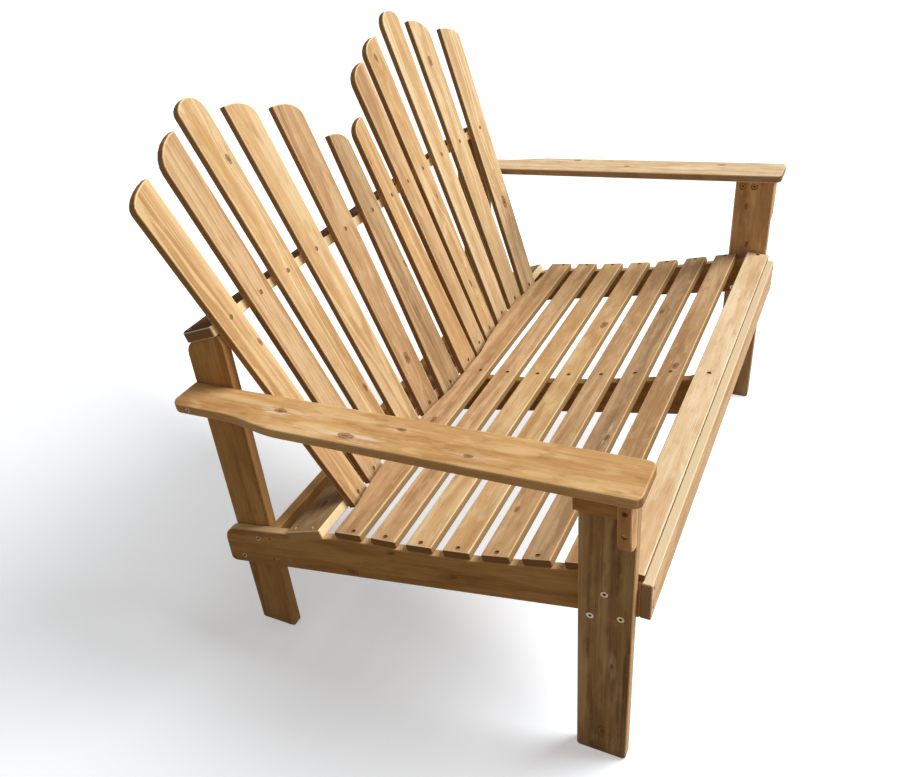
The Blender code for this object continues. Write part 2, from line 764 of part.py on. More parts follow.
def build_front_leg(base, side_name, side):
    name = f"front_leg_{side_name}"
    corners = [
        (0, 0, FRONT_LEG_TOE_RADIUS),
        (FRONT_LEG_WIDTH, 0, FRONT_LEG_TOE_RADIUS),
        (FRONT_LEG_WIDTH, under_arm(FRONT_LEG_WIDTH), 0),
        (0, under_arm(0), 0),
    ]
    middle = side * (HALF_WIDTH + GAP + FRONT_LEG_THICKNESS / 2)
    outline = rounded(corners)
    board = add_upright_board(name, base, outline, FRONT_LEG_THICKNESS, middle, SHADED_WOOD)
    outer = side * LEG_OUTER
    inner = side * (HALF_WIDTH + GAP)
    inward = (-side, 0, 0)
    outward = (side, 0, 0)
    through = FRONT_LEG_THICKNESS + OVERRUN
    radius = BOLT_SHANK_RADIUS + GAP
    places = front_leg_bolt_places() + cleat_bolt_places()
    holes = [((outer, y, z), inward, through, radius, BOLT_SIDES) for y, z in places]
    drill(board, name + "_bolt_holes", holes)
    radius = BOLT_HEAD_RADIUS + GAP
    holes = []
    for y, z in front_leg_bolt_places():
        holes.append(((outer, y, z), inward, BOLT_HEAD_THICKNESS + GAP, radius, BOLT_SIDES))
    for y, z in cleat_bolt_places():
        mouth = (inner, y, z)
        radius = CLEAT_BOLT_RECESS_RADIUS
        holes.append((mouth, outward, CLEAT_BOLT_RECESS_DEPTH, radius, BOLT_SIDES))
    drill(board, name + "_head_recesses", holes)


def build_back_leg(base, side_name, side):
    name = f"back_leg_{side_name}"
    toe, heel, top_rear, _ = back_leg_corners()
    corners = [
        (*toe, BACK_LEG_TOE_RADIUS),
        (*heel, BACK_LEG_HEEL_RADIUS),
        (*top_rear, BACK_LEG_TOP_RADIUS),
    ]
    corners += [(*point, 0) for point in slat_relief()]
    middle = side * (BACK_LEG_INNER + BACK_LEG_OUTER) / 2
    outline = rounded(corners)
    board = add_upright_board(name, base, outline, BACK_LEG_THICKNESS, middle, SHADED_WOOD)
    face = side * BACK_LEG_OUTER
    inward = (-side, 0, 0)
    through = BACK_LEG_THICKNESS + OVERRUN
    radius = BOLT_SHANK_RADIUS + GAP
    places = back_leg_bolt_places()
    holes = [((face, y, z), inward, through, radius, BOLT_SIDES) for y, z in places]
    y, z = arm_screw_place()
    bite = BACK_LEG_THICKNESS * ARM_SCREW_BITE_SHARE + GAP
    holes.append(((face, y, z), inward, bite, ARM_SCREW_SHANK_RADIUS + GAP, BOLT_SIDES))
    drill(board, name + "_holes", holes)


def build_cross_rail(base):
    """The board between the side rails, leaning with the back legs that it lies against."""
    foot = rail_bottom(cross_rail_front(0))
    size = (2 * (RAIL_INNER - GAP), CROSS_RAIL_THICKNESS, CROSS_RAIL_WIDTH)
    turn = Matrix.Rotation(-BACK_LEG_LEAN, 3, "X")
    middle = Vector((0, cross_rail_front(foot), foot))
    middle += turn @ Vector((0, CROSS_RAIL_THICKNESS / 2, CROSS_RAIL_WIDTH / 2))
    mesh = box_mesh("rear_cross_rail", size)
    rotation = (-BACK_LEG_LEAN, 0, 0)
    add_board("rear_cross_rail", mesh, base, middle, rotation, SHADED_WOOD, BOARD_ARRIS, 1)


def build_apron(base):
    """The board over the front ends of the three rails."""
    face = rail_front() - GAP
    top = RAIL_FRONT_HEIGHT - APRON_TOP_DROP
    mesh = box_mesh("apron", (FRAME_WIDTH, APRON_THICKNESS, APRON_WIDTH))
    middle = (0, face - APRON_THICKNESS / 2, top - APRON_WIDTH / 2)
    board = add_board("apron", mesh, base, middle, (0, 0, 0), OILED_WOOD, BOARD_ARRIS, 1)
    holes = []
    for side in SIDES.values():
        for share in APRON_SCREW_SHARES:
            x = side * (HALF_WIDTH - RAIL_SCREW_INSET)
            z = top - APRON_WIDTH + APRON_WIDTH * share
            holes.append(recess((x, face - APRON_THICKNESS, z), (0, 1, 0)))
    drill(board, "apron_screw_recesses", holes)


def rear_slat_depth(across, reach):
    """Depth of the rear seat slat at a place across: two bulges, one before each fan.

    Each bulge is an arc that falls to the slat's end, cut off level near the middle.
    """
    end_run = reach - REAR_SLAT_BULGE_PLACE
    radius = (end_run ** 2 + REAR_SLAT_BULGE ** 2) / (2 * REAR_SLAT_BULGE)
    run = abs(across) - REAR_SLAT_BULGE_PLACE
    bulge = REAR_SLAT_BULGE - radius + math.sqrt(max(radius ** 2 - run ** 2, 0))
    return REAR_SLAT_END_WIDTH + max(bulge, REAR_SLAT_CENTRE_BULGE)


def rear_slat_mesh(name, reach):
    """The rear seat slat, straight in front and scalloped behind, flat in XY."""
    outline = [(-reach, 0), (reach, 0)]
    for step in range(2 * BULGE_STEPS + 1):
        across = reach * (1 - step / BULGE_STEPS)
        outline.append((across, rear_slat_depth(across, reach)))
    return outline_mesh(name, outline, SEAT_SLAT_THICKNESS)


def build_seat_slats(base):
    """The slats lie flat on the contour of the rails, numbered from the front."""
    reach = HALF_WIDTH - SEAT_SLAT_INSET
    last = len(SEAT_SLOPES) - 1
    for index, (front, slope) in enumerate(zip(seat_fronts(), SEAT_SLOPES)):
        name = f"seat_slat_{index + 1}"
        forward = Vector((0, math.cos(slope), -math.sin(slope)))
        normal = Vector((0, math.sin(slope), math.cos(slope)))
        edge = Vector((0, front, contour_height(front)))
        middle = edge + normal * (SEAT_SLAT_THICKNESS / 2 + GAP)
        depth = REAR_SLAT_END_WIDTH
        if index == last:
            mesh = rear_slat_mesh(name, reach)
        else:
            depth = SEAT_SLAT_WIDTH
            mesh = box_mesh(name, (2 * reach, SEAT_SLAT_WIDTH, SEAT_SLAT_THICKNESS))
            middle += forward * SEAT_SLAT_WIDTH / 2
        board = add_board(
            name, mesh, base, middle, (-slope, 0, 0), OILED_WOOD, SEAT_SLAT_ARRIS, 2
        )
        top = edge + forward * depth / 2 + normal * (SEAT_SLAT_THICKNESS + GAP)
        places = (RAIL_SCREW_INSET - HALF_WIDTH, 0, HALF_WIDTH - RAIL_SCREW_INSET)
        holes = [recess(top + Vector((x, 0, 0)), -normal) for x in places]
        drill(board, name + "_screw_recesses", holes)


def arm_outline(side):
    """The arm from above, Y from its front end: straight inside, an S-shaped sweep outside."""
    length = (arm_rear() - arm_front()) / math.cos(arm_slope())
    sweep_end = length - ARM_TAIL_LENGTH
    sweep_start = sweep_end - ARM_SWEEP_LENGTH
    corners = [
        (0, 0, ARM_FRONT_RADIUS),
        (side * ARM_FRONT_WIDTH, 0, ARM_FRONT_RADIUS),
    ]
    for step in range(SWEEP_STEPS + 1):
        share = step / SWEEP_STEPS
        narrowing = (1 - math.cos(math.pi * share)) / 2
        width = ARM_FRONT_WIDTH + (ARM_REAR_WIDTH - ARM_FRONT_WIDTH) * narrowing
        corners.append((side * width, sweep_start + (sweep_end - sweep_start) * share, 0))
    corners += [(side * ARM_REAR_WIDTH, length, ARM_REAR_RADIUS), (0, length, 0)]
    return rounded(corners)


def build_arm(base, side_name, side):
    name = f"arm_{side_name}"
    mesh = outline_mesh(name, arm_outline(side), ARM_THICKNESS)
    normal = Vector((0, math.sin(arm_slope()), math.cos(arm_slope())))
    place = Vector((side * RAIL_INNER, arm_front(), ARM_FRONT_HEIGHT))
    place -= normal * ARM_THICKNESS / 2
    turn = (-arm_slope(), 0, 0)
    board = add_board(name, mesh, base, place, turn, OILED_WOOD, ARM_ARRIS, 2)
    y, z = arm_screw_place()
    mouth = (side * (RAIL_INNER + ARM_REAR_WIDTH), y, z)
    inward = (-side, 0, 0)
    through = ARM_REAR_WIDTH + OVERRUN
    shank = (mouth, inward, through, ARM_SCREW_SHANK_RADIUS + GAP, BOLT_SIDES)
    drill(board, name + "_screw_hole", [shank])
    head = (mouth, inward, SCREW_RECESS_DEPTH, ARM_SCREW_HEAD_RADIUS + GAP, BOLT_SIDES)
    drill(board, name + "_screw_recess", [head])


def build_arm_cleat(base, side_name, side):
    """The block under the arm, behind the bracket and against the front leg."""
    name = f"arm_cleat_{side_name}"
    front = BRACKET_THICKNESS + GAP
    rear = front + CLEAT_LENGTH
    bottom = under_arm(rear) - CLEAT_HEIGHT
    corners = [(front, bottom), (rear, bottom), (rear, under_arm(rear)), (front, under_arm(front))]
    inner = LEG_OUTER + GAP
    middle = side * (inner + CLEAT_THICKNESS / 2)
    board = add_upright_board(name, base, corners, CLEAT_THICKNESS, middle, SHADED_WOOD)
    bite = CLEAT_THICKNESS * ARM_SCREW_BITE_SHARE + GAP
    radius = BOLT_SHANK_RADIUS + GAP
    holes = []
    for y, z in cleat_bolt_places():
        holes.append(((side * inner, y, z), (side, 0, 0), bite, radius, BOLT_SIDES))
    drill(board, name + "_bolt_holes", holes)


def bracket_outline(side):
    """The bracket from the front, X outwards from the leg and Y up from its foot.

    A quarter ellipse joins the shoulder to the toe.
    """
    toe = BRACKET_REACH * BRACKET_TOE_SHARE
    toe_rise = BRACKET_HEIGHT * BRACKET_TOE_HEIGHT_SHARE
    shoulder = BRACKET_REACH * BRACKET_SHOULDER_REACH_SHARE
    shoulder_rise = BRACKET_HEIGHT * BRACKET_SHOULDER_HEIGHT_SHARE
    points = [(0, 0)]
    for step in range(TOP_STEPS + 1):
        angle = math.pi / 2 * step / TOP_STEPS
        out = toe + (shoulder - toe) * math.sin(angle)
        rise = shoulder_rise - (shoulder_rise - toe_rise) * math.cos(angle)
        points.append((out, rise))
    points += [(BRACKET_REACH, BRACKET_HEIGHT), (0, BRACKET_HEIGHT)]
    return [(side * out, rise) for out, rise in points]


def build_arm_bracket(base, side_name, side):
    name = f"arm_bracket_{side_name}"
    mesh = outline_mesh(name, bracket_outline(side), BRACKET_THICKNESS)
    foot = under_arm(BRACKET_THICKNESS) - BRACKET_HEIGHT
    place = (side * (LEG_OUTER + GAP), BRACKET_THICKNESS / 2, foot)
    turn = (math.pi / 2, 0, 0)
    board = add_board(name, mesh, base, place, turn, SHADED_WOOD, BOARD_ARRIS, 1)
    tip = side * (LEG_OUTER + GAP + BRACKET_REACH * BRACKET_SHOULDER_REACH_SHARE)
    holes = []
    for share in BRACKET_SCREW_SHARES:
        mouth = (tip, BRACKET_THICKNESS / 2, foot + BRACKET_HEIGHT * share)
        holes.append(recess(mouth, (-side, 0, 0), 2 * SCREW_RECESS_DEPTH))
    drill(board, name + "_screw_recesses", holes)


def turned_mesh(name, profile):
    """A mesh of the (radius, height) profile's edges in the XZ plane, for a Screw modifier."""
    mesh = bpy.data.meshes.new(name)
    points = [(radius, 0, height) for radius, height in profile]
    edges = [(index, index + 1) for index in range(len(points) - 1)]
    mesh.from_pydata(points, edges, [])
    return mesh


def add_bolt(name, base, head, outward, length, head_size, shank_radius, cap_size):
    """A bolt with a socket head. head is the middle of the head's face, which looks outward.

    length runs from the head's face to the far end, and cap_size is the sleeve nut's head.
    """
    head_radius, head_thickness = head_size
    cap_radius, cap_thickness = cap_size
    profile = [
        (0, 0),
        (head_radius, 0),
        (head_radius, -head_thickness),
        (shank_radius, -head_thickness),
    ]
    if cap_thickness > 0:
        profile += [
            (shank_radius, cap_thickness - length),
            (cap_radius, cap_thickness - length),
            (cap_radius, -length),
        ]
    else:
        profile.append((shank_radius, -length))
    profile.append((0, -length))
    mesh = turned_mesh(name, profile)
    bolt = bpy.data.objects.new(name, mesh)
    parts.objects.link(bolt)
    bolt.parent = base
    bolt.location = head
    bolt.rotation_euler = (0, outward * math.pi / 2, 0)
    mesh.materials.append(make_finish(name + "_finish", BRASSED_STEEL))
    turn = bolt.modifiers.new("turn", "SCREW")
    turn.angle = 2 * math.pi
    turn.steps = BOLT_SIDES
    turn.render_steps = BOLT_SIDES
    turn.use_merge_vertices = True
    turn.merge_threshold = GAP / 10
    inward = (-outward, 0, 0)
    socket = (head, inward, BOLT_SOCKET_DEPTH, BOLT_SOCKET_RADIUS, SOCKET_SIDES)
    drill(bolt, name + "_socket", [socket])


def build_bolts(base, side_name, side):
    """All the bolts of one side, and the long screw of its arm."""
    head_size = (BOLT_HEAD_RADIUS, BOLT_HEAD_THICKNESS)
    cap_size = (BOLT_CAP_RADIUS, BOLT_CAP_THICKNESS)
    blind = (0, 0)
    shank = BOLT_SHANK_RADIUS
    for index, (y, z) in enumerate(front_leg_bolt_places()):
        name = f"front_leg_bolt_{side_name}_{index + 1}"
        length = FRONT_LEG_THICKNESS + SIDE_RAIL_THICKNESS + 2 * GAP + BOLT_CAP_THICKNESS
        add_bolt(name, base, (side * LEG_OUTER, y, z), side, length, head_size, shank, cap_size)
    for index, (y, z) in enumerate(back_leg_bolt_places()):
        name = f"back_leg_bolt_{side_name}_{index + 1}"
        length = SIDE_RAIL_THICKNESS + BACK_LEG_THICKNESS + 2 * GAP + BOLT_CAP_THICKNESS
        add_bolt(name, base, (side * HALF_WIDTH, y, z), side, length, head_size, shank, cap_size)
    for index, (y, z) in enumerate(cleat_bolt_places()):
        name = f"cleat_bolt_{side_name}_{index + 1}"
        recess_floor = HALF_WIDTH + GAP + CLEAT_BOLT_RECESS_DEPTH
        face = recess_floor - GAP - BOLT_HEAD_THICKNESS
        end = LEG_OUTER + GAP + CLEAT_THICKNESS * ARM_SCREW_BITE_SHARE
        add_bolt(name, base, (side * face, y, z), -side, end - face, head_size, shank, blind)
    y, z = arm_screw_place()
    recess_floor = RAIL_INNER + ARM_REAR_WIDTH - SCREW_RECESS_DEPTH
    face = recess_floor + GAP + BOLT_HEAD_THICKNESS
    end = BACK_LEG_OUTER - BACK_LEG_THICKNESS * ARM_SCREW_BITE_SHARE
    screw_head = (ARM_SCREW_HEAD_RADIUS, BOLT_HEAD_THICKNESS)
    add_bolt(
        f"arm_screw_{side_name}",
        base,
        (side * face, y, z),
        side,
        face - end,
        screw_head,
        ARM_SCREW_SHANK_RADIUS,
        blind,
    )


def shade_round_pieces():
    """Smooth shading with sharp arrises on every piece."""
    for obj in parts.objects:
        if obj.type == "MESH":
            obj.data.shade_smooth()
            obj.data.set_sharp_from_angle(angle=math.radians(30.0))


def centre_on_origin(base):
    """Move the whole object so that the origin is on the floor under its middle."""
    bpy.context.view_layer.update()
    graph = bpy.context.evaluated_depsgraph_get()
    rows = []
    for obj in parts.objects:
        if obj.type != "MESH":
            continue
        evaluated = obj.evaluated_get(graph)
        rows += [(obj.matrix_world @ Vector(corner)).y for corner in evaluated.bound_box]
    base.location.y = -(min(rows) + max(rows)) / 2


def build_loveseat():
    base = make_empty("loveseat_base", None, (0, 0, 0), (0, 0, 0))
    y, z = back_origin()
    back = make_empty("back_frame", base, (0, y, z), (-BACK_LEAN, 0, 0))
    build_middle_rail(base)
    build_cross_rail(base)
    build_apron(base)
    build_seat_slats(base)
    build_back_rails(back)
    build_back_slats(back)
    for side_name, side in SIDES.items():
        build_side_rail(base, side_name, side)
        build_front_leg(base, side_name, side)
        build_back_leg(base, side_name, side)
        build_arm(base, side_name, side)
        build_arm_cleat(base, side_name, side)
        build_arm_bracket(base, side_name, side)
        build_bolts(base, side_name, side)
    shade_round_pieces()
    centre_on_origin(base)


clear_scene()
parts = make_collection("adirondack_loveseat", bpy.context.scene.collection)
cutters = make_collection("cutters", bpy.context.scene.collection)
build_loveseat()
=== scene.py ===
"""Looks of the Adirondack loveseat: oiled acacia boards, plated fasteners and a pale studio.

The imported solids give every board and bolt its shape. This script dresses them, adds the heads of
the wood screws in their recesses, and sets the floor, the lamp and the camera.

Row frame: metres, +Z up, X across the seat, and the sitter looks along -Y. "Left" is the -X side.
"""

from __future__ import annotations

import logging
import math
from dataclasses import dataclass, field
from enum import Enum
from typing import Any

import bmesh
import bpy
import numpy as np
from mathutils import Euler, Matrix, Vector

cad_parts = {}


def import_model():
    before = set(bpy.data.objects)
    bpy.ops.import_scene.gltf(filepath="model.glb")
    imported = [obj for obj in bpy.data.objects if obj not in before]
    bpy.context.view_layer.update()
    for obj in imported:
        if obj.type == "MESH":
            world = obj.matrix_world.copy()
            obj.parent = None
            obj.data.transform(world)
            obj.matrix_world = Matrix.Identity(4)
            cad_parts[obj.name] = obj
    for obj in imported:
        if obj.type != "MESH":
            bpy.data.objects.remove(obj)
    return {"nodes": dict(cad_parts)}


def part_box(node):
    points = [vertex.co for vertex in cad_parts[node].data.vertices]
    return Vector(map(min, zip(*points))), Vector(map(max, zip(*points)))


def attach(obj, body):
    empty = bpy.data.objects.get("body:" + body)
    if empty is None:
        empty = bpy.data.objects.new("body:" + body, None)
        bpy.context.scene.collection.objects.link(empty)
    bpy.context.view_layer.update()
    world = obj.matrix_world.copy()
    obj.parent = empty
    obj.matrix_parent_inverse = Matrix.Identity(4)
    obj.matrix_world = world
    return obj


MM = 0.001
BODY = "root"
WHITE = (1.0, 1.0, 1.0, 1.0)
# The numbers of a colour mix node's inputs, whose names aren't unique.
MIX_FACTOR, MIX_A, MIX_B = 0, 6, 7
# How far the noises move for one step of a seed.
NOISE_STEP = (7.31, 3.17, 5.73)
RING_STEP = 11.7

Tree = bpy.types.NodeTree
Socket = bpy.types.NodeSocket

log = logging.getLogger("loveseat")


def linear(hex_colour: str) -> tuple[float, float, float, float]:
    """Turn an sRGB hex value into linear red, green, blue and alpha.

    Args:
        hex_colour: a value such as "#c89a62".

    Returns:
        The linear colour, with an alpha of one.
    """
    channels = [int(hex_colour[place:place + 2], 16) / 255 for place in (1, 3, 5)]
    red, green, blue = (
        value / 12.92 if value <= 0.04045 else ((value + 0.055) / 1.055) ** 2.4
        for value in channels
    )
    return red, green, blue, 1.0


def fill_inputs(tree: Tree, node: bpy.types.Node, inputs: dict[str | int, Any]) -> None:
    """Set or link the inputs of a node.

    Args:
        tree: the node tree of the material or world.
        node: the node.
        inputs: a value, or another node's output, for each input by its name or number.
    """
    for key, value in inputs.items():
        if isinstance(value, Socket):
            tree.links.new(value, node.inputs[key])
        else:
            node.inputs[key].default_value = value


def add_node(
    tree: Tree,
    kind: str,
    inputs: dict[str | int, Any] | None = None,
    output: str = "",
    **settings: Any,
) -> Socket:
    """Add a node with its settings and links.

    Args:
        tree: the node tree of the material or world.
        kind: Blender's name for the node, such as "ShaderNodeMath".
        inputs: a value, or another node's output, for each input by its name or number.
        output: the name of the output to give back, where it isn't the first one in use.
        **settings: the node's own settings, such as operation="ADD".

    Returns:
        That output of the new node.
    """
    node = tree.nodes.new(kind)
    for name, value in settings.items():
        setattr(node, name, value)
    fill_inputs(tree, node, inputs or {})
    if output:
        return node.outputs[output]
    return next(socket for socket in node.outputs if socket.enabled)


def lay_over(
    tree: Tree, under: Any, over: tuple[float, ...], *masks: tuple[Any, float, float, Any]
) -> Socket:
    """Lay a colour over another, wherever a pattern or all of several patterns allow it.

    Args:
        tree: the material's node tree.
        under: the colour below, linear or another node's output.
        over: the linear colour to lay over it.
        *masks: for each pattern its output, the value at which the colour starts to show, the
            value at which it shows most, and how strongly it then shows, from zero to one.

    Returns:
        The mixed colour.
    """
    amount: Any = None
    for pattern, start, full, strength in masks:
        rise = add_node(
            tree,
            "ShaderNodeMapRange",
            {"Value": pattern, "From Min": start, "From Max": full, "To Max": strength},
            interpolation_type="SMOOTHSTEP",
        )
        if amount is not None:
            rise = add_node(tree, "ShaderNodeMath", {0: amount, 1: rise}, operation="MULTIPLY")
        amount = rise
    return add_node(
        tree,
        "ShaderNodeMix",
        {MIX_FACTOR: amount, MIX_A: under, MIX_B: over},
        data_type="RGBA",
    )


def new_material(name: str) -> tuple[bpy.types.Material, Tree, bpy.types.Node]:
    """Make a material with one Principled shader.

    Args:
        name: the material's name.

    Returns:
        The material, its node tree and its shader.
    """
    material = bpy.data.materials.new(name)
    material.use_nodes = True
    return material, material.node_tree, material.node_tree.nodes["Principled BSDF"]


def give_finish(piece: bpy.types.Object, material: bpy.types.Material) -> None:
    """Replace all of a piece's materials by one."""
    piece.data.materials.clear()
    piece.data.materials.append(material)


def add_object(name: str, data: Any) -> bpy.types.Object:
    """Put a new object into the scene.

    Args:
        name: the object's name.
        data: its mesh, lamp or camera.

    Returns:
        The object.
    """
    added = bpy.data.objects.new(name, data)
    bpy.context.scene.collection.objects.link(added)
    return added


@dataclass(frozen=True)
class BoardPlace:
    """How one board lies in the row frame.

    The axes are the columns of turn: along the grain, across the face, and through the board.
    """

    middle: Vector
    turn: Matrix
    half: Vector

    @classmethod
    def of(cls, board: bpy.types.Object) -> BoardPlace:
        """Measure a board from its surface.

        The axes are the principal axes of the surface's own spread, summed over its triangles.

        Args:
            board: a mesh whose vertices are in the row frame.

        Returns:
            The board's middle, axes and half sizes.
        """
        mesh = board.data
        mesh.calc_loop_triangles()
        points = np.array([vertex.co for vertex in mesh.vertices])
        corners = points[np.array([triangle.vertices for triangle in mesh.loop_triangles])]
        areas = np.array([triangle.area for triangle in mesh.loop_triangles])
        total = areas.sum()
        sums = corners.sum(axis=1)
        middle = (areas[:, None] * sums / 3).sum(axis=0) / total
        spread = np.einsum("n,ni,nj->ij", areas / 12, sums, sums)
        spread += np.einsum("n,nki,nkj->ij", areas / 12, corners, corners)
        spread -= total * np.outer(middle, middle)
        axes = np.linalg.eigh(spread)[1]
        along, across = (cls.pointed(axes[:, column]) for column in (2, 1))
        through = along.cross(across)
        turn = Matrix((along, across, through)).transposed()
        local = (points - middle) @ np.array(turn)
        low, high = local.min(axis=0), local.max(axis=0)
        centre = Vector(middle) + turn @ Vector((low + high) / 2)
        return cls(centre, turn, Vector((high - low) / 2))

    @staticmethod
    def pointed(axis: np.ndarray) -> Vector:
        """Turn an axis so that its largest part is positive."""
        return Vector(axis if axis[np.argmax(np.abs(axis))] > 0 else -axis)

    @property
    def stands(self) -> bool:
        """Whether the grain climbs by more than 30 degrees."""
        return self.turn.col[0].z > math.sin(math.radians(30))


class Tone(Enum):
    """Colours of one acacia board: its body, its pale sapwood and its dark streaks."""

    HONEY = ("#ddb582", "#f1d6a7", "#bf9360")
    TAN = ("#d4aa7a", "#e9c896", "#b68a57")
    ROSY = ("#cea67a", "#e6c598", "#ae845a")
    STREAKY = ("#bd9970", "#d9bb8f", "#93714f")
    DUSTY = ("#bf9b74", "#dab98f", "#9b7854")
    WHEAT = ("#e8c595", "#f9dfb4", "#cda471")
    CREAM = ("#e9c99f", "#f9e2bf", "#d1aa7b")
    AMBER = ("#d6a66d", "#eec790", "#b0814d")
    SADDLE = ("#b7874e", "#cea066", "#956a3d")
    UMBER = ("#ac8456", "#d3ae7f", "#6d4d30")

    @property
    def body(self) -> str:
        """The colour of most of the board."""
        return self.value[0]

    @property
    def pale(self) -> str:
        """The colour of the sapwood, and of the arrises, which are sanded and carry a painted
        highlight.
        """
        return self.value[1]

    @property
    def dark(self) -> str:
        """The colour of the streaks, and the painted shade of long edges without a colour of their
        own.
        """
        return self.value[2]


@dataclass(frozen=True)
class Knot:
    """A knot through a board.

    along and across are shares of the board's half length and half width, from its middle.
    halo is the strength of the pale flames beside the knot.
    """

    along: float
    across: float
    radius: float = 5 * MM
    halo: float = 0.0


@dataclass(frozen=True)
class KnotZone:
    """A zone round every knot, stretched along the grain.

    It is full within near and gone beyond far, both counted in the knot's radii.
    """

    stretch: float
    near: float
    far: float


@dataclass(frozen=True)
class BoardLook:
    """The wood of one board.

    sap is how pale the sapwood is along one edge: positive on the side that the board's across
    axis points to, negative on the other side. stain is how strongly painted shade darkens and
    dulls the two faces and the ends. edge_light_shade_colour is painted on its long edges, as painted
    light where it is paler and painted shade where it is darker, and end_colour is that of its sawn
    ends, both where they aren't the group's own.
    """

    tone: Tone
    knots: tuple[Knot, ...] = ()
    sap: float = 0.0
    painted_shade: float = 0.0
    edge_light_shade_colour: str = ""
    end_colour: str = ""


@dataclass(frozen=True)
class Workpiece:
    """A board whose wood is being made.

    grain gives coordinates along, across and through the board, in metres from its middle, and
    seed sets the board's own pattern.
    """

    tree: Tree
    grain: Socket
    place: BoardPlace
    look: BoardLook
    seed: int

    def noise(self, length: float, width: float, seed: float, detail: float = 1.0) -> Socket:
        """Noise whose spots have a length along the grain and a width across it.

        Args:
            length: the spots' length in metres.
            width: their width in metres.
            seed: moves the pattern along the board.
            detail: octaves of finer spots.

        Returns:
            The noise, from about 0.2 to 0.8.
        """
        scaled = add_node(
            self.tree,
            "ShaderNodeMapping",
            {
                "Vector": self.grain,
                "Location": [seed * step for step in NOISE_STEP],
                "Scale": (1 / length, 1 / width, 1 / width),
            },
        )
        settings = {"Vector": scaled, "Scale": 1.0, "Detail": detail}
        return add_node(self.tree, "ShaderNodeTexNoise", settings)

    def ring_noise(self, rings: Socket, width: float, seed: float, detail: float) -> Socket:
        """Noise in bands of uneven width that follow the growth rings.

        Args:
            rings: the distance from the pith.
            width: the bands' usual width in metres.
            seed: moves the bands.
            detail: octaves of finer bands.

        Returns:
            The noise, from about 0.2 to 0.8.
        """
        counted = add_node(
            self.tree,
            "ShaderNodeMath",
            {0: rings, 1: 1 / width, 2: seed * RING_STEP},
            operation="MULTIPLY_ADD",
        )
        settings = {"W": counted, "Scale": 1.0, "Detail": detail}
        return add_node(self.tree, "ShaderNodeTexNoise", settings, noise_dimensions="1D")

    def facing(self, axis: int) -> Socket:
        """How squarely each face looks along one of the board's axes, from zero to one.

        Args:
            axis: 0 for along, 1 for across and 2 for through the board.

        Returns:
            The share, the same for both directions.
        """
        normal = add_node(self.tree, "ShaderNodeNewGeometry", output="True Normal")
        product = add_node(
            self.tree,
            "ShaderNodeVectorMath",
            {0: normal, 1: self.place.turn.col[axis]},
            operation="DOT_PRODUCT",
        )
        return add_node(self.tree, "ShaderNodeMath", {0: product}, operation="ABSOLUTE")


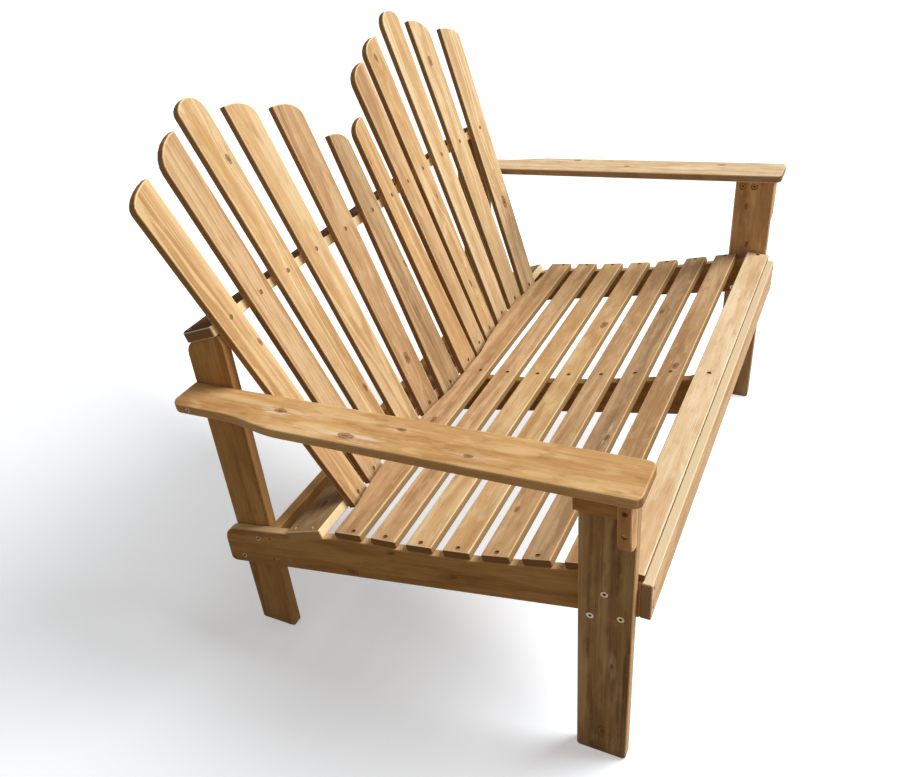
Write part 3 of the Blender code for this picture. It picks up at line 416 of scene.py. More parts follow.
@dataclass(frozen=True)
class OiledAcacia:
    """Acacia boards, planed, sanded and oiled.

    The saw leaves long streaks of heartwood and pale sapwood, and the sander lightens the arrises,
    which also carry a painted highlight. The long edges carry painted light and painted shade,
    board by board, and some faces and the feet of standing boards carry painted shade. The oil
    gives a satin sheen that is duller over the open pores and on the faces with painted shade. The
    pores are drawn about twice as coarse as real ones, so that they show in a picture of the whole
    seat.
    """

    streak_width: float = 13 * MM
    streak_strength: float = 0.60
    line_width: float = 2.6 * MM
    line_strength: float = 0.36
    pale_line_strength: float = 0.0
    zone_width: float = 30 * MM
    zone_length: float = 620 * MM
    zone_strength: float = 0.75
    fibre_width: float = 1.6 * MM
    fibre_length: float = 260 * MM
    fibre_strength: float = 0.32
    mottle_width: float = 15 * MM
    mottle_length: float = 45 * MM
    mottle_strength: float = 0.30
    pore_width: float = 1.2 * MM
    pore_length: float = 40 * MM
    pore_reach: tuple[float, float] = (0.64, 0.74)
    pore_strength: float = 0.22
    pore_colour: str = "#7a5430"
    sway: float = 7 * MM
    sway_width: float = 45 * MM
    sway_length: float = 260 * MM
    pith_depth: float = 70 * MM
    pith_tilt: float = math.radians(1.6)
    pith_turn: float = 0.006
    sap_reach: tuple[float, float] = (0.95, 1.30)
    sap_drift: float = 0.5
    sap_drift_width: float = 60 * MM
    sap_drift_length: float = 300 * MM
    sap_fray: float = 0.35
    sap_fray_width: float = 5 * MM
    knot_core: KnotZone = KnotZone(2.0, 0.35, 1.25)
    knot_bend: KnotZone = KnotZone(4.0, 0.6, 4.2)
    knot_flames: KnotZone = KnotZone(5.0, 0.9, 3.0)
    knot_colour: str = "#9a673a"
    heart_colour: str = "#5f3c22"
    ragged_width: float = 5 * MM
    ragged_length: float = 12 * MM
    raggedness: float = 1.1
    flame_colour: str = "#fff0d6"
    flame_width: float = 4 * MM
    flame_length: float = 60 * MM
    flame_strength: float = 0.5
    # Paler arrises: sanded wood with a painted highlight on them.
    arris_lift: float = 1.2
    arris_strength: float = 0.60
    # Painted light and painted shade on the long edges.
    edge_reach: float = 0.22
    edge_depth: float = 0.55
    edge_light_shade_colour: str = ""
    face_reach: tuple[float, float] = (0.80, 0.96)
    end_reach: tuple[float, float] = (0.55, 0.80)
    end_depth: float = 0.80
    end_colour: str = "#8a6038"
    # The colour of the painted shade on faces, on ends and at the feet of standing boards.
    painted_shade_colour: str = "#5c3410"
    # Painted shade towards the foot of standing boards.
    painted_foot_shade: float = 0.0
    foot_reach: tuple[float, float] = (0.10, -0.70)
    pore_roughness: float = 0.62
    clear_roughness: float = 0.48
    gloss: float = 0.03
    top_height: float = 0.8
    pore_sink: float = 0.7
    line_rise: float = 0.35
    relief_depth: float = 0.25 * MM
    relief_strength: float = 0.35

    def dress(self, board: bpy.types.Object, look: BoardLook, seed: int) -> None:
        """Give a board its wood.

        Args:
            board: the board's object, whose vertices are in the row frame.
            look: its colours, knots and sapwood, and its painted light and shade.
            seed: a number that sets its own pattern.
        """
        place = BoardPlace.of(board)
        material, tree, shader = new_material(board.name + "_oiled_acacia")
        grain = add_node(
            tree,
            "ShaderNodeMapping",
            {
                "Vector": add_node(tree, "ShaderNodeTexCoord", output="Object"),
                "Location": place.middle,
                "Rotation": place.turn.to_euler(),
            },
            vector_type="TEXTURE",
        )
        work = Workpiece(tree, grain, place, look, seed)
        core, bend, flames = self.knot_masks(work)
        rings = self.ring_distance(work, bend)
        colour, height = self.clear_wood(work, rings, flames)
        if look.sap:
            colour = self.sapwood_edge(work, colour, rings)
        if look.knots:
            colour = self.knotted(work, colour, core)
        colour = self.worked_faces(work, colour)
        if self.painted_foot_shade and place.stands:
            colour = self.darker_foot(work, colour)
        rough = add_node(
            tree,
            "ShaderNodeMapRange",
            {"Value": height, "To Min": self.pore_roughness, "To Max": self.clear_roughness},
        )
        bump = add_node(
            tree,
            "ShaderNodeBump",
            {"Strength": self.relief_strength, "Distance": self.relief_depth, "Height": height},
        )
        # Faces with painted shade lose their sheen, so that the shade stays dark.
        gloss = self.gloss * (1 - look.painted_shade)
        surface = {"Base Color": colour, "Roughness": rough, "Normal": bump}
        fill_inputs(tree, shader, surface | {"Specular IOR Level": gloss})
        give_finish(board, material)

    def knot_masks(self, work: Workpiece) -> list[Any]:
        """Masks of the knots' dark cores, of the grain that bends round them and of their flames.

        Args:
            work: the board.

        Returns:
            Three outputs or plain zeros, each the largest of all the knots.
        """
        masks: list[Any] = [0.0, 0.0, 0.0]
        tree, half, knots = work.tree, work.place.half, work.look.knots
        ragged = work.noise(self.ragged_length, self.ragged_width, len(knots), 2.0)
        for knot in knots:
            offset = add_node(
                tree,
                "ShaderNodeVectorMath",
                {0: work.grain, 1: (half.x * knot.along, half.y * knot.across, 0.0)},
                operation="SUBTRACT",
            )
            for index, zone in enumerate((self.knot_core, self.knot_bend, self.knot_flames)):
                flat = add_node(
                    tree,
                    "ShaderNodeVectorMath",
                    {0: offset, 1: (1 / zone.stretch, 1.0, 0.0)},
                    operation="MULTIPLY",
                )
                distance = add_node(tree, "ShaderNodeVectorMath", {0: flat}, operation="LENGTH")
                uneven = add_node(
                    tree,
                    "ShaderNodeMath",
                    {0: ragged, 1: -self.raggedness * knot.radius, 2: distance},
                    operation="MULTIPLY_ADD",
                )
                near, far = (reach - self.raggedness / 2 for reach in (zone.near, zone.far))
                pale = knot.halo * self.flame_strength
                mask = add_node(
                    tree,
                    "ShaderNodeMapRange",
                    {
                        "Value": uneven,
                        "From Min": near * knot.radius,
                        "From Max": far * knot.radius,
                        "To Min": pale if zone is self.knot_flames else 1.0,
                        "To Max": 0.0,
                    },
                    interpolation_type="SMOOTHSTEP",
                )
                masks[index] = add_node(
                    tree, "ShaderNodeMath", {0: mask, 1: masks[index]}, operation="MAXIMUM"
                )
        return masks

    def ring_distance(self, work: Workpiece, bend: Any) -> Socket:
        """Distance from the tree's pith, which sways along the board and bends round knots.

        The sines of the seed scatter the boards over the trunk, each with its own slant.

        Args:
            work: the board.
            bend: how strongly each point is pushed aside by a knot.

        Returns:
            The distance in metres.
        """
        tree, seed = work.tree, work.seed
        aside = math.sin(seed * 2.4) * work.place.half.y
        depth = self.pith_depth * (1 + 0.4 * math.sin(seed * 5.1))
        tilt = self.pith_tilt * math.cos(seed * 1.7)
        turn = self.pith_turn * math.sin(seed * 3.3)
        from_pith = add_node(
            tree,
            "ShaderNodeMapping",
            {"Vector": work.grain, "Location": (0.0, aside, depth), "Rotation": (0.0, tilt, turn)},
        )
        flat = add_node(
            tree, "ShaderNodeVectorMath", {0: from_pith, 1: (0.0, 1.0, 1.0)}, operation="MULTIPLY"
        )
        distance = add_node(tree, "ShaderNodeVectorMath", {0: flat}, operation="LENGTH")
        swaying = work.noise(self.sway_length, self.sway_width, seed + 0.5)
        for push, reach in ((swaying, 2 * self.sway), (bend, self.sway)):
            distance = add_node(
                tree, "ShaderNodeMath", {0: push, 1: reach, 2: distance}, operation="MULTIPLY_ADD"
            )
        return distance

    def clear_wood(self, work: Workpiece, rings: Socket, flames: Any) -> tuple[Socket, Socket]:
        """The clear wood: streaks, sapwood zones, lines, fibres, mottle, flames and pores.

        Args:
            work: the board.
            rings: the distance from the pith.
            flames: how strongly pale flames show beside knots.

        Returns:
            The colour, and the height of the surface from zero to one.
        """
        seed, tone = work.seed, work.look.tone
        streaks = work.ring_noise(rings, self.streak_width, seed, 2.0)
        lines = work.ring_noise(rings, self.line_width, seed + 0.3, 1.5)
        zones, mottle, pores, fibres, licks = (
            work.noise(length, width, seed + shift, detail)
            for length, width, shift, detail in (
                (self.zone_length, self.zone_width, 0.0, 1.5),
                (self.mottle_length, self.mottle_width, 0.7, 2.0),
                (self.pore_length, self.pore_width, 0.2, 0.0),
                (self.fibre_length, self.fibre_width, 0.4, 1.0),
                (self.flame_length, self.flame_width, 0.9, 1.0),
            )
        )
        pale, dark = linear(tone.pale), linear(tone.dark)
        # Each layer has a colour, a pattern, the values where it starts and is full, and a strength.
        layers = (
            (dark, streaks, 0.50, 0.64, self.streak_strength),
            (pale, streaks, 0.47, 0.33, self.streak_strength),
            (pale, zones, 0.54, 0.67, self.zone_strength),
            (dark, zones, 0.45, 0.31, self.zone_strength),
            (dark, lines, 0.50, 0.64, self.line_strength),
            (pale, lines, 0.40, 0.31, self.pale_line_strength),
            (dark, fibres, 0.52, 0.66, self.fibre_strength),
            (pale, fibres, 0.46, 0.34, self.fibre_strength),
            (pale, mottle, 0.52, 0.70, self.mottle_strength),
            (dark, mottle, 0.46, 0.30, self.mottle_strength),
            (linear(self.flame_colour), licks, 0.44, 0.62, flames),
            (linear(self.pore_colour), pores, *self.pore_reach, self.pore_strength),
        )
        colour: Any = linear(tone.body)
        for over, *mask in layers:
            colour = lay_over(work.tree, colour, over, tuple(mask))
        sunk = add_node(
            work.tree,
            "ShaderNodeMapRange",
            {
                "Value": pores,
                "From Min": self.pore_reach[0],
                "From Max": self.pore_reach[1],
                "To Min": self.top_height,
                "To Max": self.top_height - self.pore_sink,
            },
            interpolation_type="SMOOTHSTEP",
        )
        height = add_node(
            work.tree,
            "ShaderNodeMath",
            {0: lines, 1: self.line_rise, 2: sunk},
            operation="MULTIPLY_ADD",
        )
        return colour, height

    def sapwood_edge(self, work: Workpiece, colour: Socket, rings: Socket) -> Socket:
        """Lay a pale band of sapwood along one edge of a board.

        Args:
            work: the board.
            colour: the wood under it.
            rings: the distance from the pith, whose bands fray the sapwood's border.

        Returns:
            The colour with the sapwood.
        """
        paleness = abs(work.look.sap)
        edge = math.copysign(work.place.half.y, work.look.sap)
        drift = work.noise(self.sap_drift_length, self.sap_drift_width, paleness * 9)
        frayed = work.ring_noise(rings, self.sap_fray_width, paleness, 1.0)
        across = add_node(work.tree, "ShaderNodeSeparateXYZ", {"Vector": work.grain}, "Y")
        for push, share in ((drift, self.sap_drift), (frayed, self.sap_fray)):
            across = add_node(
                work.tree,
                "ShaderNodeMath",
                {0: push, 1: share * edge, 2: across},
                operation="MULTIPLY_ADD",
            )
        start, full = (share * edge for share in self.sap_reach)
        pale = linear(work.look.tone.pale)
        return lay_over(work.tree, colour, pale, (across, start, full, paleness))

    def knotted(self, work: Workpiece, colour: Socket, core: Socket) -> Socket:
        """Lay the knots over the wood: a brown core with a dark rim and a dark heart.

        Args:
            work: the board.
            colour: the wood round them.
            core: where the knots are, from zero outside to one in their middle.

        Returns:
            The colour with the knots.
        """
        brown, heart = linear(self.knot_colour), linear(self.heart_colour)
        for over, *masks in (
            (brown, (core, 0.0, 0.5, 0.60)),
            (heart, (core, 0.08, 0.34, 0.40), (core, 0.86, 0.50, 1.0)),
            (heart, (core, 0.93, 1.0, 0.55)),
        ):
            colour = lay_over(work.tree, colour, over, *masks)
        return colour

    def worked_faces(self, work: Workpiece, colour: Socket) -> Socket:
        """Lay painted shade on the faces, paint light and shade on the long edges, deepen the sawn
        ends, and lighten the arrises, which are sanded and carry a painted highlight.

        An arris lies between a face and an edge, so its mask rises and falls again.

        Args:
            work: the board.
            colour: the wood with its knots.

        Returns:
            The finished colour.
        """
        look, reach = work.look, self.edge_reach
        along, through = work.facing(0), work.facing(2)
        face, ends = (through, *self.face_reach), (along, *self.end_reach)
        # The long edges take their painted light and shade; the sawn ends are darker end grain.
        edge = look.edge_light_shade_colour or self.edge_light_shade_colour or look.tone.dark
        end = look.end_colour or self.end_colour
        layers = [
            (edge, (through, reach, reach - 0.10, self.edge_depth)),
            (end, (*ends, self.end_depth)),
        ]
        # Painted shade on the faces and the ends.
        if look.painted_shade:
            layers[:0] = [(self.painted_shade_colour, (*reached, look.painted_shade)) for reached in (face, ends)]
        for over, mask in layers:
            colour = lay_over(work.tree, colour, linear(over), mask)
        # Paler arrises: sanded wood with a painted highlight.
        sanded_and_highlit = tuple(min(1.0, part * self.arris_lift) for part in linear(look.tone.pale))
        rising = (through, reach - 0.04, min(reach + 0.12, 0.92), 1.0)
        falling = (through, 0.98, 0.94, self.arris_strength)
        return lay_over(work.tree, colour, sanded_and_highlit, rising, falling)

    def darker_foot(self, work: Workpiece, colour: Socket) -> Socket:
        """Paint shade on a standing board towards its foot, where less light reaches it.

        Args:
            work: the board.
            colour: the finished wood.

        Returns:
            The colour with its darker foot.
        """
        # Painted shade, darker towards the foot.
        along = add_node(work.tree, "ShaderNodeSeparateXYZ", {"Vector": work.grain}, "X")
        start, full = (share * work.place.half.x for share in self.foot_reach)
        foot_shade_mask = (along, start, full, self.painted_foot_shade)
        return lay_over(work.tree, colour, linear(self.painted_shade_colour), foot_shade_mask)


@dataclass(frozen=True)
class PlatedSteel:
    """Steel screws and bolts with a thin zinc or brass plating.

    Tumbling in the plating drum gives a fine uneven gloss, and the colour is a little cloudy.
    Painted shade lies in the socket and along the rim of the head.
    """

    name: str
    colour: str
    cloud_colour: str
    roughness: float = 0.34
    smoother: float = 0.08
    rougher: float = 0.12
    cloud_size: float = 3 * MM
    # Painted shade in the socket and along the rim of the head.
    socket_rim_shade_colour: str = "#3a2a1a"
    socket_rim_shade_strength: float = 0.85
    socket_reach: tuple[float, float] = (0.42, 0.34)
    rim_reach: tuple[float, float] = (0.84, 0.90)

    def material(
        self, middle: Vector = Vector(), across: Vector | None = None
    ) -> bpy.types.Material:
        """Make the plated finish.

        Args:
            middle: the middle of a bolt, in the row frame.
            across: turns an offset from it into shares of its head's radius, by each axis. Without
                it there is no painted shade.

        Returns:
            The material.
        """
        material, tree, shader = new_material(self.name)
        place = add_node(tree, "ShaderNodeTexCoord", output="Object")
        clouds = add_node(
            tree, "ShaderNodeTexNoise", {"Vector": place, "Scale": 1 / self.cloud_size, "Detail": 2.0}
        )
        colour = add_node(
            tree,
            "ShaderNodeMix",
            {MIX_FACTOR: clouds, MIX_A: linear(self.colour), MIX_B: linear(self.cloud_colour)},
            data_type="RGBA",
        )
        rough = add_node(
            tree,
            "ShaderNodeMapRange",
            {
                "Value": clouds,
                "To Min": self.roughness - self.smoother,
                "To Max": self.roughness + self.rougher,
            },
        )
        if across is not None:
            offset = add_node(
                tree, "ShaderNodeVectorMath", {0: place, 1: middle}, operation="SUBTRACT"
            )
            share = add_node(
                tree, "ShaderNodeVectorMath", {0: offset, 1: across}, operation="MULTIPLY"
            )
            distance = add_node(tree, "ShaderNodeVectorMath", {0: share}, operation="LENGTH")
            # Painted shade in the socket and along the rim.
            for reach in (self.socket_reach, self.rim_reach):
                rim_and_socket_shade = (distance, *reach, self.socket_rim_shade_strength)
                colour = lay_over(tree, colour, linear(self.socket_rim_shade_colour), rim_and_socket_shade)
        fill_inputs(tree, shader, {"Base Color": colour, "Roughness": rough, "Metallic": 1.0})
        return material


BRASSY = PlatedSteel("brass_plated_steel", "#bba578", "#907a50")
BRONZED = PlatedSteel("bronze_plated_steel", "#b18a55", "#7a5831", roughness=0.30)
COPPERY = PlatedSteel("copper_flashed_steel", "#c8a088", "#9c705c")
ROSY_BRONZE = PlatedSteel("rosy_bronze_plated_steel", "#bd957a", "#85614a")
ZINC = PlatedSteel("zinc_plated_steel", "#c4b5a4", "#8c8072")
YELLOWED = PlatedSteel("yellow_plated_screw_steel", "#bd925a", "#805a31", roughness=0.40)


@dataclass
class Boards:
    """A group of boards with one finish, in which each board has its own look.

    The pattern of the first board comes from first_seed, and each next one counts up from it.
    """

    nodes: dict[str, bpy.types.Object]
    looks: dict[str, BoardLook]
    finish: OiledAcacia = field(default_factory=OiledAcacia)
    first_seed: int = 0

    def dress(self) -> None:
        """Give every board its own wood."""
        for index, (name, look) in enumerate(self.looks.items()):
            self.finish.dress(self.nodes[name], look, self.first_seed + index)
            log.info("dressed %s", name)


@dataclass
class SlattedBack(Boards):
    """Two fans of back slats and the two rails that carry them."""

    looks: dict[str, BoardLook] = field(
        default_factory=lambda: {
            "back_slat_left_1": BoardLook(Tone.TAN, (Knot(0.07, 0.7, 4 * MM),), 0.9),
            "back_slat_left_2": BoardLook(Tone.ROSY),
            "back_slat_left_3": BoardLook(Tone.HONEY, (Knot(0.69, 0.45), Knot(-0.61, 0.55))),
            "back_slat_left_4": BoardLook(Tone.HONEY, (), 0.4),
            "back_slat_left_5": BoardLook(Tone.ROSY, (Knot(-0.62, -0.12, 7 * MM),)),
            "back_slat_left_6": BoardLook(Tone.STREAKY, (Knot(-0.01, 0.7, 4 * MM),)),
            "back_slat_right_6": BoardLook(Tone.TAN, (Knot(0.71, -0.7, 4 * MM),), 0.4),
            "back_slat_right_5": BoardLook(Tone.ROSY, (), 0.6),
            "back_slat_right_4": BoardLook(
                Tone.HONEY, (Knot(0.88, -0.1), Knot(-0.02, 0.33, 3 * MM), Knot(-0.62, 0.0))
            ),
            "back_slat_right_3": BoardLook(Tone.WHEAT, (), -0.7),
            "back_slat_right_2": BoardLook(Tone.WHEAT, (Knot(0.73, -0.15, 6 * MM),)),
            "back_slat_right_1": BoardLook(Tone.WHEAT, (Knot(-0.29, 0.1, 8 * MM),)),
            # Painted shade from the slats on its faces, painted light on its front edge, and a paler
            # end against the shade.
            "lower_back_rail": BoardLook(
                Tone.HONEY,
                (Knot(-0.86, 0.1, 6 * MM),),
                painted_shade=0.60,
                edge_light_shade_colour="#f9e0b0",
                end_colour="#b98851",
            ),
            # Painted shade from the slats on its faces, a painted shadow on its end and painted light
            # on its front edge.
            "upper_back_rail": BoardLook(
                Tone.HONEY, painted_shade=0.93, edge_light_shade_colour="#f9e0b0", end_colour="#693f1a"
            ),
        }
    )
    # Painted shade on the slats' long edges and feet, and a strong painted highlight on their
    # arrises.
    finish: OiledAcacia = field(
        default_factory=lambda: OiledAcacia(
            edge_depth=0.85,
            edge_light_shade_colour="#a27443",
            arris_strength=0.90,
            painted_foot_shade=0.15,
            pale_line_strength=0.75,
        )
    )
    first_seed: int = 1


@dataclass
class SlattedSeat(Boards):
    """The seat slats and the apron under the front one."""

    looks: dict[str, BoardLook] = field(
        default_factory=lambda: {
            # A dark painted shadow on its front edge, in the seam above the apron.
            "seat_slat_1": BoardLook(Tone.CREAM, edge_light_shade_colour="#5a3c20"),
            "seat_slat_2": BoardLook(Tone.ROSY, (Knot(0.04, -0.2, 6 * MM, 0.4),)),
            "seat_slat_3": BoardLook(
                Tone.DUSTY, (Knot(0.48, 0.5, 5 * MM), Knot(-0.41, -0.5, 5 * MM, 0.5))
            ),
            "seat_slat_4": BoardLook(Tone.ROSY, (Knot(-0.79, 0.35, 4 * MM),)),
            "seat_slat_5": BoardLook(Tone.HONEY, (Knot(0.39, -0.4, 8 * MM),)),
            "seat_slat_6": BoardLook(Tone.HONEY),
            "seat_slat_7": BoardLook(Tone.ROSY, (), -0.5),
            "seat_slat_8": BoardLook(Tone.ROSY, (Knot(-0.36, 0.0, 6 * MM),)),
            # Painted light on its top edge.
            "apron": BoardLook(Tone.TAN, edge_light_shade_colour="#f3deb9"),
        }
    )
    # Painted shade on the slats' front edges.
    finish: OiledAcacia = field(
        default_factory=lambda: OiledAcacia(
            zone_width=26 * MM,
            zone_length=320 * MM,
            streak_strength=0.50,
            line_strength=0.22,
            fibre_strength=0.22,
            mottle_strength=0.42,
            arris_strength=0.55,
            edge_depth=0.85,
            edge_reach=0.86,
            edge_light_shade_colour="#957548",
        )
    )
    first_seed: int = 21


@dataclass
class Underframe(Boards):
    """Rails and legs, whose long edges carry painted light, lighter than their faces."""

    # The pale edge colours below are painted light.
    looks: dict[str, BoardLook] = field(
        default_factory=lambda: {
            "side_rail_left": BoardLook(
                Tone.SADDLE,
                (Knot(0.05, 0.63, 4 * MM), Knot(-0.22, -0.21, 4 * MM), Knot(0.29, -0.70, 6 * MM)),
                edge_light_shade_colour="#ffe2ae",
            ),
            "side_rail_right": BoardLook(Tone.SADDLE, edge_light_shade_colour="#eecb92"),
            "middle_rail": BoardLook(Tone.SADDLE, edge_light_shade_colour="#c99e6a"),
            "rear_cross_rail": BoardLook(Tone.SADDLE, edge_light_shade_colour="#d9b07a"),
            "front_leg_left": BoardLook(
                Tone.UMBER,
                (Knot(-0.25, -0.32, 3 * MM, 0.5), Knot(-0.81, 0.0, 7 * MM)),
                0.4,
                edge_light_shade_colour="#c99e6a",
            ),
            "front_leg_right": BoardLook(
                Tone.ROSY,
                (Knot(0.78, 0.32, 4 * MM), Knot(0.46, 0.09, 4 * MM)),
                edge_light_shade_colour="#c99e6a",
            ),
            "back_leg_left": BoardLook(Tone.SADDLE, edge_light_shade_colour="#d9b07a"),
            "back_leg_right": BoardLook(Tone.SADDLE, edge_light_shade_colour="#d9b07a"),
        }
    )
    finish: OiledAcacia = field(
        default_factory=lambda: OiledAcacia(
            zone_width=26 * MM,
            zone_length=230 * MM,
            streak_strength=0.40,
            line_strength=0.16,
            fibre_strength=0.24,
            mottle_strength=0.30,
        )
    )
    first_seed: int = 41


@dataclass
class Arms(Boards):
    """The arms with the cleats and brackets under them."""

    looks: dict[str, BoardLook] = field(
        default_factory=lambda: {
            "arm_left": BoardLook(
                Tone.AMBER,
                (
                    Knot(-0.37, -0.4, 4 * MM, 0.6),
                    Knot(-0.06, 0.25, 4 * MM, 0.5),
                    Knot(0.13, -0.56, 7 * MM, 0.9),
                    Knot(0.485, 0.06, 6 * MM, 0.9),
                ),
                edge_light_shade_colour="#d3a56e",
            ),
            # Painted shade on its inner edge.
            "arm_right": BoardLook(
                Tone.CREAM,
                (Knot(-0.64, 0.45), Knot(-0.09, -0.06, 4 * MM), Knot(0.25, 0.7)),
                edge_light_shade_colour="#56381c",
            ),
            "arm_cleat_left": BoardLook(Tone.SADDLE),
            "arm_cleat_right": BoardLook(Tone.SADDLE),
            "arm_bracket_left": BoardLook(Tone.AMBER),
            "arm_bracket_right": BoardLook(Tone.AMBER),
        }
    )
    finish: OiledAcacia = field(
        default_factory=lambda: OiledAcacia(
            zone_width=30 * MM,
            zone_length=190 * MM,
            streak_strength=0.32,
            line_strength=0.08,
            fibre_strength=0.14,
            mottle_strength=0.50,
            arris_strength=0.20,
        )
    )
    first_seed: int = 61


@dataclass
class Bolts:
    """The bolts of the legs and cleats and the long screws of the arms.

    The three bolts of each front leg come from different boxes.
    """

    nodes: dict[str, bpy.types.Object]
    front_legs: tuple[PlatedSteel, ...] = (COPPERY, ZINC, BRASSY)
    arms: PlatedSteel = ROSY_BRONZE
    others: PlatedSteel = BRONZED

    def plating(self, name: str) -> PlatedSteel:
        """Choose the plating of a bolt or long screw.

        Args:
            name: its node, whose last figure counts the bolts of a front leg from one.

        Returns:
            The plating.
        """
        if name.startswith("arm_screw"):
            return self.arms
        if name.startswith("front_leg_bolt"):
            return self.front_legs[int(name[-1]) - 1]
        return self.others

    def dress(self) -> None:
        """Plate each bolt and long screw."""
        for name, bolt in self.nodes.items():
            if "_bolt_" not in name and "arm_screw" not in name:
                continue
            low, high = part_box(name)
            spans = list(high - low)
            shank = spans.index(max(spans))
            head = max(spans[:shank] + spans[shank + 1:])
            across = Vector([0.0 if axis == shank else 2 / head for axis in range(3)])
            give_finish(bolt, self.plating(name).material((low + high) / 2, across))
            log.info("plated %s", name)


@dataclass
class WoodScrews:
    """The heads of the wood screws, sunk in the round recesses of the boards.

    A recess is known by its floor, a flat regular polygon. The slacks are how far its area and its
    corners may be from the true ones, as shares.
    """

    nodes: dict[str, bpy.types.Object]
    recess_radius: float = 4.5 * MM
    recess_sides: int = 10
    weld: float = 0.01 * MM
    flatness: float = 0.9999
    area_slack: float = 0.06
    corner_slack: float = 0.05
    twist: float = 2.4
    head_radius: float = 3.8 * MM
    sunk_height: float = 0.9 * MM
    full_height: float = 1.9 * MM
    rim_bevel: float = 0.4 * MM
    slot_reach: float = 2.3 * MM
    slot_half_width: float = 0.55 * MM
    slot_depth: float = 0.7 * MM
    head_sides: int = 24

    def head_mesh(self, head_height: float) -> bpy.types.Mesh:
        """Build a screw head with a cross slot, standing on its seat at the origin.

        Args:
            head_height: the height of its flat top.

        Returns:
            The mesh, without a finish.
        """
        body = bmesh.new()
        rings = []
        turns = [2 * math.pi * side / self.head_sides for side in range(self.head_sides)]
        for radius, height in (
            (self.head_radius, 0.0),
            (self.head_radius, head_height - self.rim_bevel),
            (self.head_radius - self.rim_bevel, head_height),
        ):
            rings.append(
                [
                    body.verts.new((radius * math.cos(turn), radius * math.sin(turn), height))
                    for turn in turns
                ]
            )
        for low, high in zip(rings, rings[1:]):
            for side in range(self.head_sides):
                after = (side + 1) % self.head_sides
                body.faces.new((low[side], low[after], high[after], high[side]))
        body.faces.new(rings[0][::-1])
        mouth = [body.verts.new((x, y, head_height)) for x, y in self.cross_outline()]
        floor_height = head_height - self.slot_depth
        floor = [body.verts.new((x, y, floor_height)) for x, y in self.cross_outline()]
        count = len(mouth)
        for index in range(count):
            after = (index + 1) % count
            body.faces.new((mouth[index], mouth[after], floor[after], floor[index]))
        body.faces.new(floor)
        body.edges.ensure_lookup_table()
        borders = [
            body.edges.get((loop[index - 1], corner))
            for loop in (rings[2], mouth)
            for index, corner in enumerate(loop)
        ]
        bmesh.ops.triangle_fill(body, use_beauty=True, edges=borders)
        bmesh.ops.recalc_face_normals(body, faces=body.faces)
        mesh = bpy.data.meshes.new("wood_screw_head")
        body.to_mesh(mesh)
        body.free()
        return mesh

    def cross_outline(self) -> list[tuple[float, float]]:
        """Work out the outline of the cross slot.

        Returns:
            Its corners, counter-clockwise.
        """
        reach, half = self.slot_reach, self.slot_half_width
        corner = [(reach, -half), (reach, half), (half, half)]
        outline = []
        for quarter in range(4):
            turn = Matrix.Rotation(math.pi / 2 * quarter, 2)
            outline += [tuple(turn @ Vector(point)) for point in corner]
        return outline

    def recess_floors(self, board: bpy.types.Object) -> list[tuple[Vector, Vector]]:
        """Find the flat round floors of a board's screw recesses.

        Faces that lie in one plane are gathered into patches, and each patch is compared with the
        floor of a recess.

        Args:
            board: the board's object.

        Returns:
            The middle and the outward normal of each floor.
        """
        body = bmesh.new()
        body.from_mesh(board.data)
        bmesh.ops.remove_doubles(body, verts=body.verts, dist=self.weld)
        body.normal_update()
        wanted = self.recess_sides / 2 * self.recess_radius ** 2
        wanted *= math.sin(2 * math.pi / self.recess_sides)
        floors = []
        seen: set[bmesh.types.BMFace] = set()
        for start in body.faces:
            if start in seen:
                continue
            patch, waiting = [], [start]
            seen.add(start)
            while waiting:
                face = waiting.pop()
                patch.append(face)
                for edge in face.edges:
                    for other in edge.link_faces:
                        if other in seen:
                            continue
                        if other.normal.dot(start.normal) > self.flatness:
                            seen.add(other)
                            waiting.append(other)
            area = sum(face.calc_area() for face in patch)
            if abs(area / wanted - 1) > self.area_slack:
                continue
            middle = sum((face.calc_center_median() * face.calc_area() for face in patch), Vector())
            middle /= area
            corners = {vertex for face in patch for vertex in face.verts}
            reaches = [(vertex.co - middle).length / self.recess_radius for vertex in corners]
            if all(abs(reach - 1) < self.corner_slack for reach in reaches):
                floors.append((middle, start.normal.copy()))
        body.free()
        return floors

    def build(self) -> None:
        """Set a head in every recess and plate it.

        The heads in the back slats and rails fill their recesses, and the others lie deeper.
        """
        sunk, full = (self.head_mesh(height) for height in (self.sunk_height, self.full_height))
        plating = YELLOWED.material()
        for mesh in (sunk, full):
            mesh.materials.append(plating)
        count = 0
        for name, board in sorted(self.nodes.items()):
            if "bolt" in name or "screw" in name:
                continue
            for index, (middle, normal) in enumerate(self.recess_floors(board)):
                head = add_object(f"screw_{name}_{index + 1}", full if "back" in name else sunk)
                twist = Matrix.Rotation(self.twist * index + len(name), 3, "Z")
                turn = normal.to_track_quat("Z", "Y").to_matrix() @ twist
                head.matrix_world = Matrix.Translation(middle) @ turn.to_4x4()
                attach(head, BODY)
                count += 1
            log.info("set the screws of %s, %d so far", name, count)


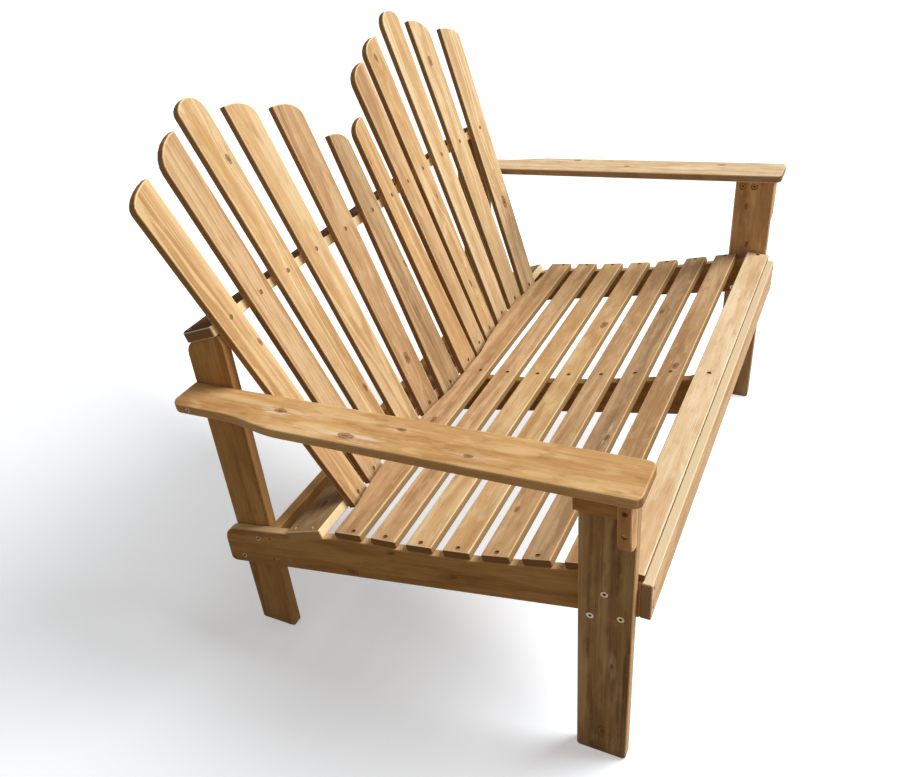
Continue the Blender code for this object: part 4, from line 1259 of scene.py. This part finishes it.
@dataclass
class Studio:
    """A pale floor, a white surround and a broad soft lamp.

    The lamp stands far off to the right of the front, so its light is even over the floor. The
    floor glows a little for the camera alone, and more under the seat and to its right: painted
    light, as if a second lamp stood low on that side.
    """

    floor_size: float = 80.0
    floor_colour: str = "#dbe0e7"
    floor_glow: float = 0.37
    # Painted light: the floor's extra glow under the seat and to its right.
    painted_floor_light: float = 0.30
    open_slant: float = -0.4
    open_reach: tuple[float, float] = (-0.47, -0.22)
    bounce_colour: str = "#9a9084"
    fill_colour: str = "#fffaf2"
    fill_light: float = 0.25
    key_toward: tuple[float, float, float] = (0.42, -0.62, 0.68)
    key_power: float = 3.3
    key_spread: float = math.radians(36.0)

    def build(self) -> None:
        """Make the floor, the surround and the lamp."""
        self.build_floor()
        self.build_surround()
        self.build_key()

    def build_floor(self) -> None:
        """Lay the floor."""
        body = bmesh.new()
        bmesh.ops.create_grid(body, x_segments=1, y_segments=1, size=self.floor_size / 2)
        mesh = bpy.data.meshes.new("studio_floor")
        body.to_mesh(mesh)
        body.free()
        floor = add_object("studio_floor", mesh)
        give_finish(floor, self.floor_paint())

    def floor_paint(self) -> bpy.types.Material:
        """Mix a matte paint that looks white and throws back a little warm light. Under the seat and
        to its right it glows more for the camera, as painted light.

        Returns:
            The material.
        """
        material, tree, shader = new_material("matte_floor_paint")
        seen = self.seen_directly(tree)
        colour = add_node(
            tree,
            "ShaderNodeMix",
            {
                MIX_FACTOR: seen,
                MIX_A: linear(self.bounce_colour),
                MIX_B: linear(self.floor_colour),
            },
            data_type="RGBA",
        )
        # Painted light on the floor, growing towards the lamp's side.
        place = add_node(tree, "ShaderNodeTexCoord", output="Object")
        toward_lamp = add_node(
            tree,
            "ShaderNodeVectorMath",
            {0: place, 1: (1.0, self.open_slant, 0.0)},
            operation="DOT_PRODUCT",
        )
        rising = add_node(
            tree,
            "ShaderNodeMapRange",
            {
                "Value": toward_lamp,
                "From Min": self.open_reach[0],
                "From Max": self.open_reach[1],
                "To Min": self.floor_glow,
                "To Max": self.floor_glow + self.painted_floor_light,
            },
            interpolation_type="SMOOTHSTEP",
        )
        paint = {
            "Base Color": colour,
            "Emission Strength": add_node(
                tree, "ShaderNodeMath", {0: seen, 1: rising}, operation="MULTIPLY"
            ),
            "Emission Color": WHITE,
            "Roughness": 1.0,
            "Specular IOR Level": 0.0,
        }
        fill_inputs(tree, shader, paint)
        return material

    def seen_directly(self, tree: Tree) -> Socket:
        """One for rays from the camera, or by way of gloss or glass, and zero for others.

        Args:
            tree: the node tree of the floor or the surround.

        Returns:
            The output of one or zero.
        """
        seen: Any = 0.0
        for ray in ("Is Camera Ray", "Is Glossy Ray", "Is Transmission Ray"):
            path = add_node(tree, "ShaderNodeLightPath", output=ray)
            seen = add_node(tree, "ShaderNodeMath", {0: seen, 1: path}, operation="MAXIMUM")
        return seen

    def build_surround(self) -> None:
        """Surround the set with white, which lights it softly and a little warmly."""
        world = bpy.data.worlds.new("white_surround")
        bpy.context.scene.world = world
        world.use_nodes = True
        tree = world.node_tree
        seen = self.seen_directly(tree)
        colour = add_node(
            tree,
            "ShaderNodeMix",
            {MIX_FACTOR: seen, MIX_A: linear(self.fill_colour), MIX_B: WHITE},
            data_type="RGBA",
        )
        strength = add_node(
            tree, "ShaderNodeMapRange", {"Value": seen, "To Min": self.fill_light, "To Max": 1.0}
        )
        light = {"Color": colour, "Strength": strength}
        fill_inputs(tree, tree.nodes["Background"], light)

    def build_key(self) -> None:
        """Aim the soft lamp at the object."""
        lamp = bpy.data.lights.new("key_lamp", "SUN")
        lamp.energy = self.key_power
        lamp.angle = self.key_spread
        holder = add_object("key_lamp", lamp)
        holder.rotation_euler = Vector(self.key_toward).to_track_quat("Z", "Y").to_euler()


@dataclass
class Viewpoint:
    """The camera at the photograph's viewing angle.

    Its place is measured from the floor under the middle of the front legs' front edges. turn is
    in degrees, and lens and sensor are in millimetres.
    """

    place: tuple[float, float, float] = (-1.4687, -0.2036, 1.3202)
    turn: tuple[float, float, float] = (56.838, 5.244, -63.579)
    lens: float = 34.352
    sensor: float = 36.0
    shift: tuple[float, float] = (0.0408, 0.0084)
    reach: float = 100.0

    def build(self) -> None:
        """Set up the camera and make it the scene's own."""
        camera = bpy.data.cameras.new("photo_view")
        camera.sensor_width = self.sensor
        camera.lens = self.lens
        camera.shift_x, camera.shift_y = self.shift
        camera.clip_end = self.reach
        holder = add_object("photo_view", camera)
        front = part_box("front_leg_left")[0].y
        holder.location = Vector(self.place) + Vector((0.0, front, 0.0))
        holder.rotation_euler = Euler([math.radians(angle) for angle in self.turn])
        bpy.context.scene.camera = holder


def main() -> None:
    """Dress the loveseat, set its screws and build the studio around it.
    """
    logging.basicConfig(level=logging.INFO)
    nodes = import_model()["nodes"]
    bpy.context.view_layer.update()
    log.info("loaded %d nodes", len(nodes))
    for boards in (SlattedBack(nodes), SlattedSeat(nodes), Underframe(nodes), Arms(nodes)):
        boards.dress()
    Bolts(nodes).dress()
    WoodScrews(nodes).build()
    Studio().build()
    Viewpoint().build()
    bpy.context.scene.view_settings.view_transform = "Standard"
    log.info("wrote the sizes")


if __name__ == "__main__":
    main()
